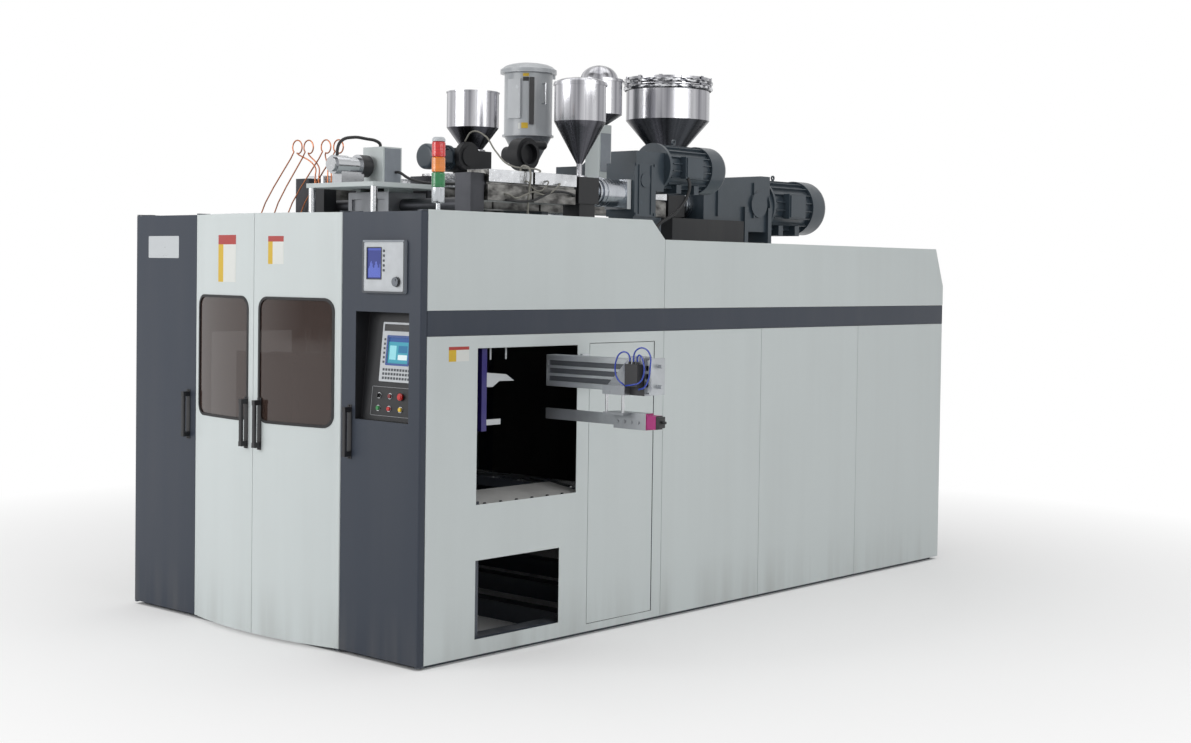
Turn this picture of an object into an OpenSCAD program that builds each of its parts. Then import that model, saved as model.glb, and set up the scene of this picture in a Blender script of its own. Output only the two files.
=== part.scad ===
// Double-station extrusion blow moulding machine, in millimetres.
// The modules work from the middle of the front edge on the floor: x to the right,
// y to the rear and z up. The last lines move them back by half the depth, so the
// origin lies on the floor under the middle of the base.

/* [Enclosure] */
// Width over the side panels
width = 2430; // [2400:10:2480]
// Depth from the flat front to the rear panel
depth = 4850; // [4820:10:4950]
// Height of the tall front part
front_h = 2250; // [2240:5:2300]
// Height of the rear part
rear_h = 2143; // [2120:1:2160]
// Depth of the tall front part
tall_depth = 1725; // [1710:5:1750]
// Run of the slope from the tall part down to the rear part
slope_run = 117; // [100:1:130]
// Run of the slope at the rear end
tail_run = 100; // [80:5:120]
// Height at which the rear slope starts
tail_h = 1889; // [1850:1:1950]
// Thickness of the sheet metal
sheet = 3; // [2:0.5:4]
// Depth of the folded edge of a panel
flange = 35; // [30:1:38]
// Gap between neighbouring panels
gap = 3; // [2:0.5:4]
// Height of the panels' lower edge above the floor
skirt = 20; // [16:1:30]
// Depth of the roof sheet below the panels' upper edge
parapet = 50; // [40:5:60]
// Height of the lower edge of the dark stripe
stripe_z = 1632; // [1620:2:1660]
// Height of the dark stripe
stripe_h = 124; // [100:2:140]
// Positions of the seams between the rear side panels
bay_y = [2761, 3805];

/* [Front doors] */
// Half the width of the pair of window doors
window_doors_half = 624; // [600:2:640]
// How far the window doors bulge out at their seam
bulge = 80; // [60:5:100]
// Height of the doors' upper edge below the panels' upper edge
door_drop = 8; // [8:1:12]
// Depth of the dark doors' wrap round the corner
corner_wrap = 39; // [38:1:42]
// Radius of the round hinge stile of a dark door
stile_r = 10; // [9:0.5:11]
// Radius of the round hinge stile of a window door
window_stile_r = 8; // [7:0.5:9]
// Radius of the hinge pins
pin_r = 4; // [3:0.5:5]
// Radial clearance of running fits
fit = 0.05; // [0.03:0.01:0.1]
// Distance from a window door's edge to its window
window_margin = 50; // [40:2:60]
// Height of the windows' lower edge
window_z = 1148; // [1120:2:1180]
// Height of the windows
window_h = 650; // [600:5:700]
// Radius of the windows' corners
window_corner = 60; // [40:5:80]
// Thickness of the window panes
pane_t = 4; // [3:0.5:5]
// Length of the door handles
handle_l = 250; // [220:5:280]
// Height of the handles' middle
handle_z = 1135; // [1100:5:1145]
// Distance of the handles of the window doors from the seam
handle_x = 57; // [45:1:60]

/* [Operator controls] */
// Left edge of the recess for the operator console
console_x0 = 732; // [728:1:740]
// Width of the recess
console_w = 398; // [380:2:400]
// Lower edge of the recess
console_z0 = 1203; // [1190:1:1210]
// Height of the recess
console_h = 541; // [520:1:560]
// Depth of the recess at its lower edge
console_low = 40; // [35:1:45]
// Depth of the recess at its upper edge
console_high = 95; // [85:1:98]
// Radius of a push-button
button_r = 11; // [10:0.5:12]
// Travel of a push-button
button_travel = 4; // [3:0.5:5]
// Width of the parison controller
controller_w = 316; // [300:2:320]
// Height of the parison controller
controller_h = 263; // [250:1:270]
// Radius of the controller's dial
dial_r = 25; // [20:1:28]

/* [Side openings] */
// Distance of the take-out opening from the front
opening_y0 = 386; // [370:2:400]
// Length of the take-out opening
opening_l = 740; // [700:5:760]
// Height of its lower edge
opening_z0 = 780; // [770:2:790]
// Height of the take-out opening
opening_h = 787; // [760:1:800]
// Length of the scrap opening
scrap_l = 615; // [560:5:660]
// Height of the scrap opening
scrap_h = 398; // [360:2:420]
// Front edge of the access door
access_y0 = 1220; // [1200:2:1240]
// Length of the access door
access_l = 543; // [520:1:545]
// Height of the access door's upper edge
access_z1 = 1575; // [1540:1:1590]

/* [Mould stations] */
// Distance of the moulds' parting plane from the front
line_y = 820; // [800:2:830]
// Distance of each blow station from the middle
station_x = 600; // [580:2:620]
// Half the distance between the two cavities of a mould
cavity_x = 65; // [55:1:75]
// Height of the mould's underside
mould_z0 = 1020; // [1000:5:1030]
// Height of the mould
mould_h = 280; // [260:5:290]
// Thickness of one mould half
mould_t = 100; // [80:2:105]
// Opening stroke of each platen
platen_stroke = 110; // [80:5:115]
// Stroke of the blow pins
blow_stroke = 190; // [175:5:200]
// Radius of the tie bars
tie_r = 20; // [18:1:24]

/* [Extruders] */
// Radius of the main extruder's screw
main_screw_r = 45; // [40:1:48]
// Radius of the side extruders' screws
side_screw_r = 32; // [28:1:34]
// Radius of the small extruder's screw
small_screw_r = 20; // [18:1:24]
// Place of the right extruder's axis
right_x = 700; // [680:5:720]
// Place of the left extruder's axis
left_x = -660; // [-680:5:-640]
// Place of the small extruder's axis
small_x = -350; // [-360:2:-340]
// Height of the extruders' axes
barrel_z = 2420; // [2415:1:2425]
// Thickness of the steel in the hoppers
hopper_t = 2; // [1.5:0.5:3]
// Radius of the main hopper
main_hopper_r = 279; // [260:1:290]
// Radius of the dryer's body
dryer_r = 160; // [150:1:170]

/* [Take-out unit] */
// Outer reach of the take-out beam from the middle of the machine
beam_x1 = 2010; // [1960:5:2060]
// Length of the take-out beam
beam_l = 700; // [660:5:720]
// Height of the beam's underside
beam_z0 = 1370; // [1360:2:1380]
// Height of the beam
beam_h = 160; // [150:2:170]
// Stroke of the take-out trolley
takeout_stroke = 400; // [300:5:410]
// Lift of the gripper
lift_stroke = 80; // [60:5:85]

/* [Hidden] */
$fn = 48;

half_w = width / 2;
frame_half = half_w - flange;
panel_y0 = corner_wrap + gap;
seam_y = tall_depth + slope_run;
roof_f = front_h - parapet;
roof_r = rear_h - parapet;
door_z1 = front_h - door_drop;
column = 80;
base_h = 100;
post_x = window_doors_half + stile_r;
arc_r = (window_doors_half * window_doors_half + bulge * bulge) / (2 * bulge);
hinge_x = window_doors_half - gap / 2 - window_stile_r;
corner_x = half_w - stile_r;
corner_pivot = [corner_x, stile_r];
window_pivot = [hinge_x, window_stile_r / 2];
access_r = 8;
access_pivot = [half_w - access_r, access_y0 + access_l - gap - access_r];
colour_dark = [0.27, 0.29, 0.34];
colour_pale = [0.80, 0.83, 0.84];
colour_steel = [0.62, 0.64, 0.66];
colour_drive = [0.22, 0.26, 0.30];
colour_black = [0.10, 0.10, 0.11];

module box(a, b) {
    translate(a) cube(b - a);
}

module both_sides() {
    children();
    mirror([1, 0, 0]) children();
}

// A cylinder along Y, from y0 to y1, about the line x, z
module rod_y(x, z, y0, y1, r) {
    translate([x, y0, z]) rotate([-90, 0, 0]) cylinder(h = y1 - y0, r = r);
}

// A cylinder along X, from x0 to x1, about the line y, z
module rod_x(y, z, x0, x1, r) {
    translate([x0, y, z]) rotate([0, 90, 0]) cylinder(h = x1 - x0, r = r);
}

module rod_z(x, y, z0, z1, r) {
    translate([x, y, z0]) cylinder(h = z1 - z0, r = r);
}

// Bent round bar along a list of points, swept as one solid
function unit(v) = v / norm(v);
function run_dir(p, i) =
    i == 0 ? unit(p[1] - p[0])
    : i == len(p) - 1 ? unit(p[i] - p[i - 1])
    : unit(unit(p[i] - p[i - 1]) + unit(p[i + 1] - p[i]));
function across(d) = abs(d[1]) < 0.9 ? unit(cross(d, [0, 1, 0])) : unit(cross(d, [0, 0, 1]));
// The frame of each ring is carried on from the ring before it
function carried(p, i) =
    i == 0 ? across(run_dir(p, 0))
    : let (c = carried(p, i - 1), d = run_dir(p, i)) unit(c - d * (c * d));
module swept(p, r, sides = 8) {
    n = len(p);
    rings = [for (i = [0 : n - 1])
        let (d = run_dir(p, i), a = carried(p, i), b = cross(d, a))
        for (k = [0 : sides - 1])
            p[i] + r * cos(360 * k / sides) * a + r * sin(360 * k / sides) * b];
    skin = [for (i = [0 : n - 2]) for (k = [0 : sides - 1])
        [i * sides + k, i * sides + (k + 1) % sides,
         (i + 1) * sides + (k + 1) % sides, (i + 1) * sides + k]];
    polyhedron(rings, concat(skin,
        [[for (k = [sides - 1 : -1 : 0]) k]],
        [[for (k = [0 : sides - 1]) (n - 1) * sides + k]]));
}

// Welded base: edge beams, cross beams and the two rail beds of the mould carriages
rail_dy = 420;
rail_w = 30;
rail_z = 820;
bed_h = 50;
chute_l = 265;
base_rows = [50, 1180, seam_y - 60, depth / 2 - 50, 3250, 4000, depth - 150];
module base_frame() {
    color(colour_dark) {
        both_sides() {
            box([frame_half - base_h, 50, 0], [frame_half, depth - 50, base_h]);
            for (y = [line_y - rail_dy, line_y + rail_dy])
                box([frame_half - column, y - column / 2, base_h],
                    [frame_half, y + column / 2, rail_z - rail_w - bed_h]);
            // Lower pivots of the front doors
            box([frame_half - 30, 40, skirt - 8], [corner_x + 6, 50, skirt - 2]);
            for (p = [corner_pivot, window_pivot]) {
                box([p[0] - 12, p[1] - 7, skirt - 8], [p[0] + 6, 50, skirt - 2]);
                rod_z(p[0], p[1], skirt - 2, skirt + 35, pin_r);
            }
        }
        for (y = base_rows) box([-frame_half, y, 0], [frame_half, y + base_h, base_h]);
        // Lower pivot of the access door
        box([frame_half, access_pivot[1] - 12, 50], [half_w - sheet - 0.5, access_pivot[1] + 50, 56]);
        rod_z(access_pivot[0], access_pivot[1], 56, 90, pin_r);
    }
    color(colour_steel) {
        for (y = [line_y - rail_dy, line_y + rail_dy]) {
            box([-frame_half, y - column / 2, rail_z - rail_w - bed_h],
                [frame_half, y + column / 2, rail_z - rail_w]);
            box([-frame_half, y - rail_w / 2, rail_z - rail_w],
                [frame_half, y + rail_w / 2, rail_z]);
        }
        // Sloping plates below the take-out openings
        both_sides()
            translate([half_w - sheet - 0.3, line_y - rail_dy + column / 2, opening_z0 - 8])
                rotate([0, 8, 0]) translate([-chute_l, 0, -4])
                    cube([chute_l, 2 * rail_dy - column, 4]);
    }
}

// Columns, roof beams, door posts and the bridges that carry the blow pins
bridge_z = 1850;
bridge_t = 30;
bridge_top = bridge_z + bridge_t;
module upper_frame() {
    rear_rows = [tall_depth - 85, bay_y[0] - 30, bay_y[1] - 30, depth - 190];
    color(colour_dark) {
        both_sides() {
            box([frame_half - 42, 50, base_h], [frame_half, 50 + column, roof_r - sheet]);
            box([post_x, 50, base_h], [post_x + 60, 110, roof_r - sheet]);
            for (y = [seam_y - 40, bay_y[0] - 30, bay_y[1] - 30, depth - 190])
                box([frame_half - column, y, base_h], [frame_half, y + 60, roof_r - sheet - 97]);
            // Front roof ring on the rear one
            box([frame_half - column, 50, roof_r - sheet], [frame_half, tall_depth, roof_f - sheet]);
            box([frame_half - column, tall_depth - 85, roof_r - sheet - 97],
                [frame_half, depth - 130, roof_r - sheet]);
            for (x = [station_x - 150, station_x + 150])
                box([x - 30, 50, roof_r - sheet], [x + 30, tall_depth, roof_f - sheet]);
            // Bridges of the blow stations, hung from the roof beams
            for (x = [station_x - 150, station_x + 150])
                box([x - 8, line_y - 100, bridge_top], [x + 8, line_y + 100, roof_r - sheet]);
            difference() {
                box([station_x - 158, line_y - 120, bridge_z],
                    [station_x + 158, line_y + 120, bridge_top]);
                for (x = [-100, 100])
                    rod_z(station_x + x, line_y, bridge_z - 1, bridge_top + 1, 15 + fit);
                rod_z(station_x, line_y, bridge_z - 1, bridge_top + 1, 12 + fit);
            }
            difference() {
                rod_z(station_x, line_y, bridge_top, bridge_top + blow_stroke + 40, 45);
                rod_z(station_x, line_y, bridge_z, bridge_top + blow_stroke + 25, 38);
            }
            // Upper pivots of the front doors
            for (p = [corner_pivot, window_pivot]) {
                rod_z(p[0], p[1], door_z1 - 35, door_z1 + 2, pin_r);
                box([p[0] - 12, p[1] - 7, door_z1 + 2], [p[0] + 6, 50, door_z1 + 7]);
            }
            box([frame_half - 42, 50, roof_f - sheet], [frame_half, 75, door_z1 + 7]);
            box([frame_half - 42, 40, door_z1 + 2], [corner_x + 6, 75, door_z1 + 7]);
            box([hinge_x - 12, 50, roof_f - sheet], [post_x + 60, 75, door_z1 + 7]);
        }
        // Upper pivot of the access door
        box([frame_half - column, access_pivot[1] - 12, access_z1 + 3],
            [half_w - sheet - 0.5, seam_y - 40, access_z1 + 9]);
        rod_z(access_pivot[0], access_pivot[1], access_z1 - 30, access_z1 + 3, pin_r);
        for (y = [50, tall_depth - column])
            box([-frame_half, y, roof_r - sheet], [frame_half, y + column, roof_f - sheet]);
        for (y = rear_rows)
            box([-frame_half, y, roof_r - sheet - 97], [frame_half, y + 60, roof_r - sheet]);
    }
}

// Roof: one folded sheet that follows the step, open round the die head
head_hole = [200, line_y - 150, line_y + 180];
module roof_panels() {
    x1 = half_w - sheet - 1;
    color(colour_pale) difference() {
        translate([-x1, 0, 0]) rotate([90, 0, 90]) linear_extrude(2 * x1)
            polygon([[panel_y0 + 5, roof_f - sheet], [panel_y0 + 5, roof_f], [tall_depth, roof_f],
                     [seam_y, roof_r], [depth - tail_run + 2, roof_r],
                     [depth - tail_run + 2, roof_r - sheet], [seam_y, roof_r - sheet],
                     [tall_depth, roof_f - sheet]]);
        box([-head_hole[0], head_hole[1], roof_f - 20], [head_hole[0], head_hole[2], roof_f + 20]);
        both_sides() for (x = [corner_x, hinge_x + 20])
            box([x - 110, 0, roof_f - 20], [x + 60, 76, roof_f + 20]);
    }
}

// A right side sheet with its edges folded inwards, from y0 to y1 and z0 to z1
module right_sheet(y0, y1, z0, z1, fold = flange) {
    box([half_w - sheet, y0, z0], [half_w, y1, z1]);
    for (y = [y0, y1 - sheet]) box([half_w - fold, y, z0], [half_w, y + sheet, z1]);
    for (z = [z0, z1 - sheet]) box([half_w - fold, y0, z], [half_w, y1, z + sheet]);
}

// Front side panels: a lower sheet with its openings and an upper sheet up to the slope
module side_panels() {
    color(colour_pale) {
        front_sheets(true);
        mirror([1, 0, 0]) front_sheets(false);
    }
}

module front_sheets(with_access) {
    difference() {
        right_sheet(panel_y0, seam_y - gap / 2, skirt, stripe_z - gap / 2);
        box([half_w - 60, opening_y0, opening_z0],
            [half_w + 1, opening_y0 + opening_l, opening_z0 + opening_h]);
        box([half_w - 60, opening_y0, base_h],
            [half_w + 1, opening_y0 + scrap_l, base_h + scrap_h]);
        if (with_access)
            box([half_w - 60, access_y0, 3 * skirt],
                [half_w + 1, access_y0 + access_l, access_z1]);
    }
    top_z = stripe_z + stripe_h + gap / 2;
    slope_y = seam_y - gap / 2;
    translate([half_w - sheet, 0, 0]) rotate([90, 0, 90]) linear_extrude(sheet)
        polygon([[panel_y0, top_z], [slope_y, top_z], [slope_y, rear_h],
                 [tall_depth, front_h], [panel_y0, front_h]]);
    box([half_w - flange, panel_y0, top_z], [half_w, panel_y0 + sheet, roof_f - sheet - 1]);
    box([half_w - flange, panel_y0, top_z], [half_w, slope_y, top_z + sheet]);
    box([half_w - flange, slope_y - sheet, top_z], [half_w, slope_y, roof_r - sheet - 1]);
}

// Rear panels: three bays a side, an upper sheet with the sloping tail, and the rear sheet
module rear_panels() {
    seams = concat([seam_y], bay_y, [depth]);
    x1 = half_w - sheet - 0.5;
    color(colour_pale) {
        both_sides() {
            for (i = [0 : 2])
                right_sheet(seams[i] + gap / 2, seams[i + 1] - gap / 2 - (i == 2 ? sheet : 0),
                            skirt, stripe_z - gap / 2);
            y0 = seam_y + gap / 2;
            z0 = stripe_z + stripe_h + gap / 2;
            translate([half_w - sheet, 0, 0]) rotate([90, 0, 90]) linear_extrude(sheet)
                polygon([[y0, z0], [depth, z0], [depth, tail_h],
                         [depth - tail_run, rear_h], [y0, rear_h]]);
            box([half_w - flange, y0, z0], [half_w, depth - 2 * sheet, z0 + sheet]);
            box([half_w - flange, y0, z0], [half_w, y0 + sheet, roof_r - sheet - 1]);
        }
        difference() {
            translate([-x1, 0, 0]) rotate([90, 0, 90]) linear_extrude(2 * x1)
                polygon([[depth - sheet, skirt], [depth, skirt], [depth, tail_h],
                         [depth - tail_run, rear_h], [depth - tail_run - sheet, rear_h],
                         [depth - tail_run - sheet, roof_r + 0.5], [depth - tail_run + 5, roof_r + 0.5],
                         [depth - sheet, tail_h]]);
            for (x = [-760, -100, 560]) for (z = [1280 : 40 : 1560])
                box([x, depth - 2 * sheet, z], [x + 200, depth + 1, z + 12]);
        }
    }
}

module stripe_bands() {
    color(colour_dark) both_sides()
        right_sheet(panel_y0, depth - sheet - 0.5, stripe_z, stripe_z + stripe_h, 20);
}

// A rounded rectangle in a plane across Y, from x, z, cut through from y0 to y1
module rounded_y(x, z, w, h, r, y0, y1) {
    translate([0, y1, 0]) rotate([90, 0, 0]) linear_extrude(y1 - y0) {
        translate([x + r, z]) square([w - 2 * r, h]);
        translate([x, z + r]) square([w, h - 2 * r]);
        for (a = [x + r, x + w - r]) for (b = [z + r, z + h - r]) translate([a, b]) circle(r);
    }
}

// Outline of a dark door from above, on the right side: sheet, folds and the round stile
module dark_door_outline(full) {
    x0 = window_doors_half + gap / 2;
    if (full) {
        translate([x0, 0]) square([corner_x - x0, flange]);
        translate([corner_x - 1, stile_r]) square([stile_r + 1, flange - stile_r]);
    } else {
        translate([x0, 0]) square([corner_x - x0, sheet]);
        translate([x0, 0]) square([sheet, flange]);
        translate([half_w - sheet, stile_r]) square([sheet, corner_wrap - stile_r]);
    }
    translate([corner_x, stile_r]) circle(stile_r);
}

module door_body(height) {
    translate([0, 0, skirt]) linear_extrude(height) children(0);
    for (z = [skirt, skirt + height - sheet])
        translate([0, 0, z]) linear_extrude(sheet) children(1);
}

module pivot_bores(p) {
    rod_z(p[0], p[1], skirt - 1, skirt + 40, pin_r + fit);
    rod_z(p[0], p[1], door_z1 - 40, door_z1 + 1, pin_r + fit);
}

module dark_door() {
    difference() {
        door_body(door_z1 - skirt) {
            dark_door_outline(false);
            dark_door_outline(true);
        }
        pivot_bores(corner_pivot);
    }
}

module left_dark_door() {
    color(colour_dark) mirror([1, 0, 0]) dark_door();
}

module control_door() {
    color(colour_dark) difference() {
        dark_door();
        box([console_x0, -1, console_z0],
            [console_x0 + console_w, sheet + 1, console_z0 + console_h]);
        box([controller_x + 20, -1, controller_z + 20],
            [controller_x + controller_w - 20, sheet + 1, controller_z + controller_h - 20]);
    }
}

// Part of the doors' arc between two radii, for x from x0 to x1
module arc_band(r_out, r_in, x0, x1) {
    intersection() {
        translate([0, arc_r - bulge]) difference() {
            circle(r_out, $fn = 360);
            circle(r_in, $fn = 360);
        }
        translate([x0, -bulge - 1]) square([x1 - x0, bulge + stile_r]);
    }
}

module window_door_outline(full) {
    x0 = gap / 2;
    if (full) {
        intersection() {
            translate([0, arc_r - bulge]) circle(arc_r, $fn = 360);
            translate([x0, -bulge - 1]) square([hinge_x - x0, bulge + 20]);
        }
    } else {
        arc_band(arc_r, arc_r - sheet, x0, hinge_x);
        translate([x0, -bulge + sheet / 2]) square([sheet, flange]);
    }
    translate(window_pivot) circle(window_stile_r);
}

module window_door() {
    difference() {
        door_body(door_z1 - skirt) {
            window_door_outline(false);
            window_door_outline(true);
        }
        pivot_bores(window_pivot);
        rounded_y(window_margin, window_z, window_w, window_h, window_corner, -bulge - 10, 10);
    }
}
window_w = window_doors_half - 2 * window_margin;

module right_window_door() {
    color(colour_pale) window_door();
}

module left_window_door() {
    color(colour_pale) mirror([1, 0, 0]) window_door();
}

// Tinted pane behind the window, bent to the door's curve
module window_pane() {
    lap = 15;
    translate([0, 0, window_z - lap]) linear_extrude(window_h + 2 * lap)
        arc_band(arc_r - sheet, arc_r - sheet - pane_t, window_margin - lap,
                 window_margin + window_w + lap);
}

module right_window_pane() {
    color([0.25, 0.18, 0.16, 0.7]) window_pane();
}

module left_window_pane() {
    color([0.25, 0.18, 0.16, 0.7]) mirror([1, 0, 0]) window_pane();
}

// Access door in the right side, hinged at its rear edge
module access_door() {
    r = access_r;
    y0 = access_y0 + gap;
    y1 = access_y0 + access_l - gap;
    z0 = 3 * skirt + gap;
    z1 = access_z1 - gap;
    color(colour_pale) difference() {
        union() {
            box([half_w - sheet, y0, z0], [half_w, y1 - r, z1]);
            box([half_w - 25, y0, z0], [half_w, y0 + sheet, z1]);
            for (z = [z0, z1 - sheet])
                box([half_w - 25, y0, z], [half_w, y1 - r, z + sheet]);
            rod_z(half_w - r, y1 - r, z0, z1, r);
        }
        rod_z(half_w - r, y1 - r, z0 - 1, 95, pin_r + fit);
        rod_z(half_w - r, y1 - r, access_z1 - 35, access_z1 + 1, pin_r + fit);
    }
}

// Black bridge handle standing on a flat base strip, its middle at x and in front of y
module bridge_handle(x, y) {
    w = 24;
    reach = 42;
    z0 = handle_z - handle_l / 2;
    color(colour_black) {
        box([x - w / 2 - 4, y - 3, z0 - 12], [x + w / 2 + 4, y, z0 + handle_l + 12]);
        for (z = [z0, z0 + handle_l - 26])
            box([x - w / 2, y - reach, z], [x + w / 2, y - 3, z + 26]);
        translate([x, y - reach + w / 4, z0]) {
            translate([-w / 2, 0, 0]) cube([w, w / 3, handle_l]);
            for (a = [-1, 1]) translate([a * w / 4, 0, 0]) cylinder(h = handle_l, r = w / 4);
            translate([-w / 4, -w / 4, 0]) cube([w / 2, w / 4, handle_l]);
        }
    }
}

dark_handle_x = window_doors_half + 69;
handle_seat = -bulge + arc_r - sqrt(arc_r * arc_r - handle_x * handle_x) - 0.8;
module left_dark_handle() { bridge_handle(-dark_handle_x, 0); }
module control_door_handle() { bridge_handle(dark_handle_x - 1, 0); }
module right_window_handle() { bridge_handle(handle_x, handle_seat); }
module left_window_handle() { bridge_handle(-handle_x, handle_seat); }

// Parison controller: a pale bezel with its screen, a row of keys and the bore of the dial
controller_x = 796;
controller_z = 1837;
dial_at = [controller_x + controller_w - 58, controller_z + 58];
module parison_controller() {
    x = controller_x;
    z = controller_z;
    color(colour_pale) difference() {
        union() {
            difference() {
                rounded_y(x, z, controller_w, controller_h, 12, -18, 0);
                rounded_y(x + 10, z + 10, controller_w - 20, controller_h - 20, 8, -30, -14);
            }
            box([x + 25, 0, z + 25], [x + controller_w - 25, 90, z + controller_h - 25]);
        }
        box([x + 34, -30, z + 72], [x + 140, -11, z + controller_h - 38]);
        rod_y(dial_at[0], dial_at[1], -30, 12, 6 + fit);
    }
    color("dimgray") for (i = [0 : 4])
        rounded_y(x + 154, z + 108 + 24 * i, 12, 12, 3, -17, -14);
}

module controller_dial() {
    color(colour_steel) {
        rod_y(dial_at[0], dial_at[1], -14.3, 10, 6);
        rod_y(dial_at[0], dial_at[1], -20, -14.3, dial_r);
        difference() {
            rod_y(dial_at[0], dial_at[1], -30, -20, dial_r - 2);
            rod_y(dial_at[0] + 9, dial_at[1] + 9, -31, -27, 6);
        }
    }
}

// The console's face leans back; its own x, y and z run along the face and into it
console_tilt = atan((console_high - console_low) / console_h);
module on_console() {
    translate([0, console_low, console_z0]) rotate([-console_tilt, 0, 0]) children();
}
button_rows = [60, 123];
button_columns = [console_x0 + 125, console_x0 + 206, console_x0 + 291];

module operator_console() {
    wall = 3;
    x1 = console_x0 + console_w;
    z1 = console_z0 + console_h;
    color(colour_black) difference() {
        union() {
            box([console_x0 - wall, sheet, console_z0 - wall], [x1 + wall, 115, z1 + wall]);
            on_console() for (row = [0, 1]) for (c = button_columns)
                if (row == 0 || c != button_columns[2])
                    rod_y(c, button_rows[row], -3, 1, button_r + 4);
        }
        difference() {
            translate([console_x0, 0, 0]) rotate([90, 0, 90]) linear_extrude(console_w)
                polygon([[-1, console_z0], [console_low, console_z0],
                         [console_high, z1], [-1, z1]]);
            on_console() for (row = [0, 1]) for (c = button_columns)
                if (row == 0 || c != button_columns[2])
                    rod_y(c, button_rows[row], -3, 1, button_r + 4);
        }
        on_console() for (row = [0, 1]) for (c = button_columns)
            rod_y(c, button_rows[row], -10, 16 + button_travel + 2, button_r + fit);
    }
}

// Tilted operator screen: black header, pale key field and a raised frame round the display
module operator_screen() {
    x = console_x0 + 123;
    color(colour_pale) on_console() difference() {
        rounded_y(x, 194, 250, 297, 6, -12, 0);
        rounded_y(x + 48, 194 + 92, 154, 130, 4, -20, -8);
        rounded_y(x + 10, 194 + 252, 230, 36, 4, -20, -10);
    }
}

module push_button(column_at, row_at) {
    on_console() {
        rod_y(column_at, row_at, -button_travel - 5, 16, button_r);
        rod_y(column_at, row_at, -button_travel - 6, -button_travel - 5, button_r - 2);
    }
}
module start_button() { color("green") push_button(button_columns[0], button_rows[0]); }
module stop_button() { color("firebrick") push_button(button_columns[1], button_rows[0]); }
module reset_button() { color("yellow") push_button(button_columns[2], button_rows[0]); }
module cycle_button() { color("darkred") push_button(button_columns[1], button_rows[1]); }

// Mushroom head on a stem
module emergency_stop() {
    x = button_columns[2];
    z = button_rows[1];
    color("red") on_console() {
        rod_y(x, z, -button_travel - 4, 16, button_r);
        rod_y(x, z, -button_travel - 12, -button_travel - 1, 18);
        rod_y(x, z, -button_travel - 16, -button_travel - 12, 14);
    }
}

module selector_switch() {
    x = button_columns[0];
    z = button_rows[1];
    color(colour_black) on_console() {
        rod_y(x, z, -8, 16, button_r);
        box([x - 3.5, -18, z - button_r + 1], [x + 3.5, -8, z + button_r - 1]);
    }
}

// Mould carriage: end plates, side members with rail shoes, tie bars and the clamp cylinder
plate_dy = 360;
plate_t = 30;
half_carriage = 260;
tie_x = 190;
tie_z = [mould_z0 - 45, mould_z0 + mould_h + 120];
rod_r = 22;
cylinder_r = 58;
platen_t = 50;
module mould_carriage(x) {
    y0 = line_y - plate_dy;
    y1 = line_y + plate_dy;
    foot = rail_z + 35;
    color([0.30, 0.38, 0.48]) translate([x, 0, 0]) {
        difference() {
            for (y = [y0 - plate_t, y1])
                box([-half_carriage + 20, y, foot],
                    [half_carriage - 20, y + plate_t, tie_z[1] + tie_r + 30]);
            rod_y(0, mould_z0 + mould_h / 2, y1 - 1, y1 + plate_t + 1, rod_r + fit);
        }
        for (s = [-1, 1])
            box([s * 200 - 25, line_y - rail_dy - 35, foot], [s * 200 + 25, line_y + rail_dy + 35, foot + 55]);
        // Shoes that run on the rails
        for (s = [-1, 1]) for (y = [line_y - rail_dy, line_y + rail_dy]) difference() {
            box([s * 200 - 55, y - 34, rail_z - 22], [s * 200 + 55, y + 34, foot]);
            box([s * 200 - 56, y - rail_w / 2 - 0.3, rail_z - 30],
                [s * 200 + 56, y + rail_w / 2 + 0.3, rail_z + 0.3]);
        }
    }
    color(colour_steel) translate([x, 0, 0]) {
        for (s = [-1, 1]) for (z = tie_z) rod_y(s * tie_x, z, y0, y1, tie_r);
        difference() {
            rod_y(0, mould_z0 + mould_h / 2, y1 + plate_t, y1 + 260, cylinder_r);
            rod_y(0, mould_z0 + mould_h / 2, y1 + plate_t - 1, y1 + 245, cylinder_r - 12);
        }
    }
}
module right_carriage() { mould_carriage(0); }
module left_carriage() { mould_carriage(-station_x); }

// Platen with its mould half; side = -1 for the front one, 1 for the rear one
module platen(x, side) {
    y_face = line_y;
    y_back = line_y + side * mould_t;
    y_outer = y_back + side * platen_t;
    zc = mould_z0 + mould_h / 2;
    color(colour_steel) translate([x, 0, 0]) {
        difference() {
            box([-tie_x - 45, min(y_back, y_outer), tie_z[0] - 45],
                [tie_x + 45, max(y_back, y_outer), tie_z[1] + 40]);
            for (s = [-1, 1]) for (z = tie_z)
                rod_y(s * tie_x, z, min(y_back, y_outer) - 1, max(y_back, y_outer) + 1, tie_r + fit);
            // Window in the platen above the mould
            box([-110, min(y_back, y_outer) - 1, mould_z0 + mould_h + 25],
                [110, max(y_back, y_outer) + 1, tie_z[1]]);
        }
        difference() {
            box([-155, min(y_face, y_back) + (side > 0 ? 0.2 : 0), mould_z0],
                [155, max(y_face, y_back) - (side > 0 ? 0 : 0.2), mould_z0 + mould_h]);
            for (s = [-1, 1]) {
                rod_z(s * cavity_x, y_face, mould_z0 + 40, mould_z0 + 190, 38);
                rod_z(s * cavity_x, y_face, mould_z0 + 180, mould_z0 + mould_h + 1, 17);
            }
        }
        if (side > 0) {
            rod_y(0, zc, y_outer, line_y + plate_dy + 110, rod_r);
            rod_y(0, zc, line_y + plate_dy + 90, line_y + plate_dy + 110, cylinder_r - 12 - fit);
        }
    }
}
module right_front_platen() { platen(0, -1); }
module right_rear_platen() { platen(0, 1); }
module left_front_platen() { platen(-station_x, -1); }
module left_rear_platen() { platen(-station_x, 1); }

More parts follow.
